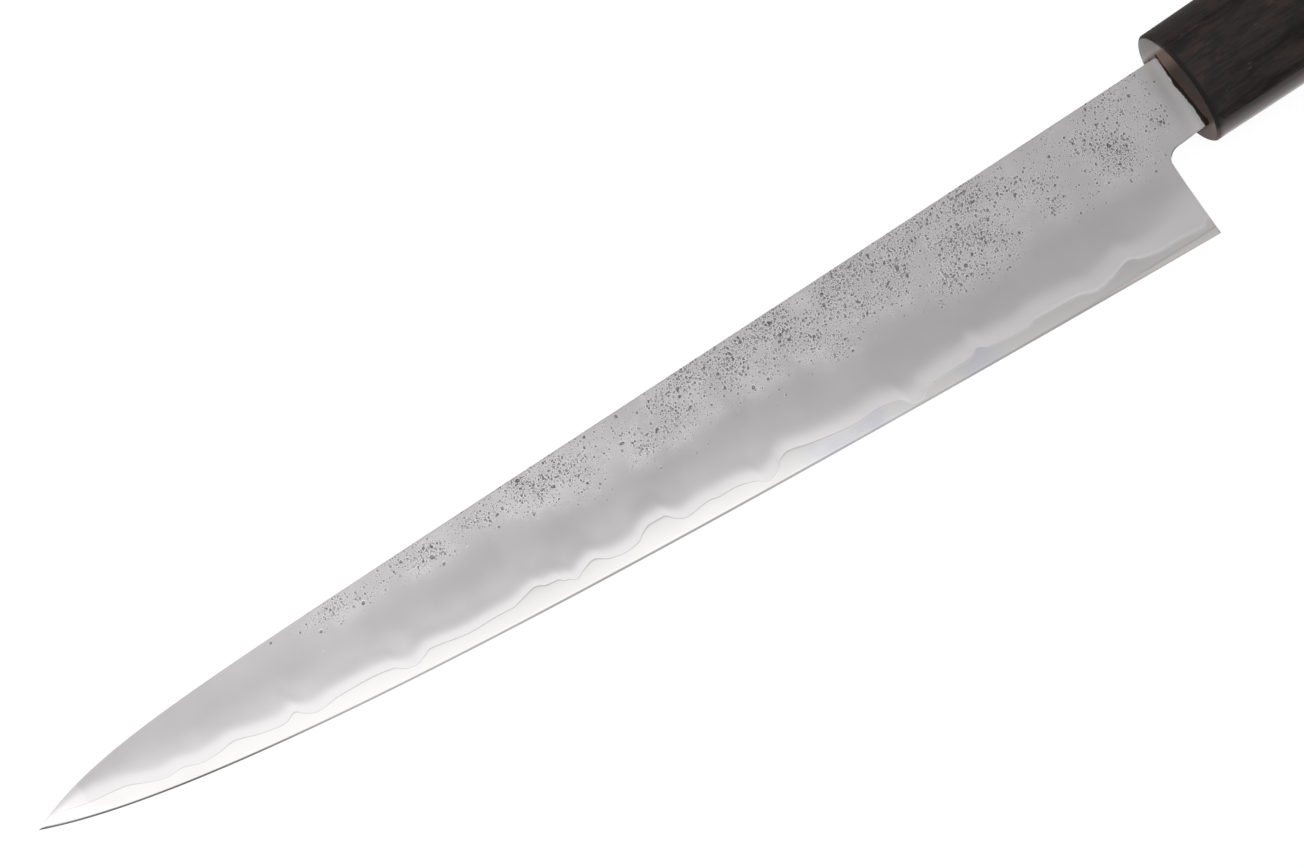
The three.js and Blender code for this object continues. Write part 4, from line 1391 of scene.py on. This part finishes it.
def right_patches(rng):
    """Pit patches for the right face, as thick as on the left but in other places."""
    patches = []
    for x in np.arange(*RIGHT_PLACES):
        depth = rng.uniform(*RIGHT_DEPTH) * read_off(PITTED_BAND, x * MM)
        place = x + rng.uniform(*RIGHT_SHIFT)
        reach = rng.uniform(*RIGHT_REACH)
        patches.append((place, depth, reach, int(rng.uniform(*RIGHT_COUNT))))
    return patches


class SUJIHIKI_OT_stage(bpy.types.Operator):
    """Add the camera, the floor and the studio light"""

    bl_idname = "sujihiki.stage"
    bl_label = "Stage"

    def execute(self, context):
        settings = context.scene.sujihiki
        form = BladeForm(settings.blade)
        set_camera(settings.stage, form)
        lay_floor(settings.stage, settings.handle, form)
        studio_world(settings.stage)
        context.scene.view_settings.view_transform = "Standard"
        return {"FINISHED"}


class SUJIHIKI_OT_core(bpy.types.Operator):
    """Make the hard core steel with its bare edge"""

    bl_idname = "sujihiki.core"
    bl_label = "Core steel"

    def execute(self, context):
        settings = context.scene.sujihiki
        rows = BladeRows(BladeForm(settings.blade))
        mesh = core_mesh("blade_core", rows)
        add_piece("blade_core", mesh, core_finish(settings.steel), "core_steel")
        return {"FINISHED"}


class SUJIHIKI_OT_cladding(bpy.types.Operator):
    """Make the two cladding plates with their pitted skin"""

    bl_idname = "sujihiki.cladding"
    bl_label = "Cladding plates"

    def execute(self, context):
        settings = context.scene.sujihiki
        steel = settings.steel
        rows = BladeRows(BladeForm(settings.blade))
        finish = cladding_finish(steel)
        left_rng = np.random.default_rng(steel.seed)
        right_rng = np.random.default_rng(steel.seed + 1)
        other_patches = right_patches(right_rng)
        left_pits = scatter_pits(left_rng, PIT_PATCHES, LARGE_PITS)
        right_pits = scatter_pits(right_rng, other_patches, ())
        left = plate_mesh("left_plate", rows, steel, PIT_PATCHES, left_pits, 1.0)
        right = plate_mesh("right_plate", rows, steel, other_patches, right_pits, -1.0)
        add_piece("left_plate", left, finish, "left_cladding")
        add_piece("right_plate", right, finish, "right_cladding")
        return {"FINISHED"}


class SUJIHIKI_OT_handle(bpy.types.Operator):
    """Make the ferrule and the body of the wooden handle"""

    bl_idname = "sujihiki.handle"
    bl_label = "Handle"

    def execute(self, context):
        settings = context.scene.sujihiki
        form = HandleForm(settings.handle, settings.blade)
        place = blade_place(BladeForm(settings.blade))
        ferrule = ferrule_mesh("handle_ferrule", form, place)
        body = body_mesh("handle_grip", form, place)
        front_wood = wood_finish(settings.handle, "ferrule_wood", FERRULE_WARMTH)
        rear_wood = wood_finish(settings.handle, "body_wood", BODY_WARMTH)
        add_piece("handle_ferrule", ferrule, front_wood, "ferrule")
        add_piece("handle_grip", body, rear_wood, "handle_body")
        return {"FINISHED"}


class SUJIHIKI_OT_bedding(bpy.types.Operator):
    """Give the resin around the tang its finish"""

    bl_idname = "sujihiki.bedding"
    bl_label = "Tang bedding"

    def execute(self, context):
        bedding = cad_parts["tang_bedding"]
        bedding.data.materials.clear()
        bedding.data.materials.append(resin_finish(context.scene.sujihiki.handle))
        return {"FINISHED"}


class SUJIHIKI_PT_knife(bpy.types.Panel):
    """Sizes, finishes and steps of the knife"""

    bl_idname = "SUJIHIKI_PT_knife"
    bl_label = "Sujihiki knife"
    bl_space_type = "VIEW_3D"
    bl_region_type = "UI"
    bl_category = "Knife"

    def draw(self, context):
        settings = context.scene.sujihiki
        for group in (settings.blade, settings.steel, settings.handle, settings.stage):
            box = self.layout.box()
            for name in group.__annotations__:
                box.prop(group, name)
        for step in STEPS:
            self.layout.operator(step.bl_idname)


STEPS = (
    SUJIHIKI_OT_stage,
    SUJIHIKI_OT_core,
    SUJIHIKI_OT_cladding,
    SUJIHIKI_OT_handle,
    SUJIHIKI_OT_bedding,
)
GROUPS = (BladeSettings, SteelSettings, HandleSettings, StageSettings, KnifeSettings)


def register():
    for kind in (*GROUPS, *STEPS, SUJIHIKI_PT_knife):
        bpy.utils.register_class(kind)
    bpy.types.Scene.sujihiki = PointerProperty(type=KnifeSettings)


def unregister():
    del bpy.types.Scene.sujihiki
    for kind in reversed((*GROUPS, *STEPS, SUJIHIKI_PT_knife)):
        bpy.utils.unregister_class(kind)


def main():
    register()
    bpy.ops.sujihiki.stage()
    bpy.ops.sujihiki.core()
    bpy.ops.sujihiki.cladding()
    bpy.ops.sujihiki.handle()
    bpy.ops.sujihiki.bedding()


if __name__ == "__main__":
    main()
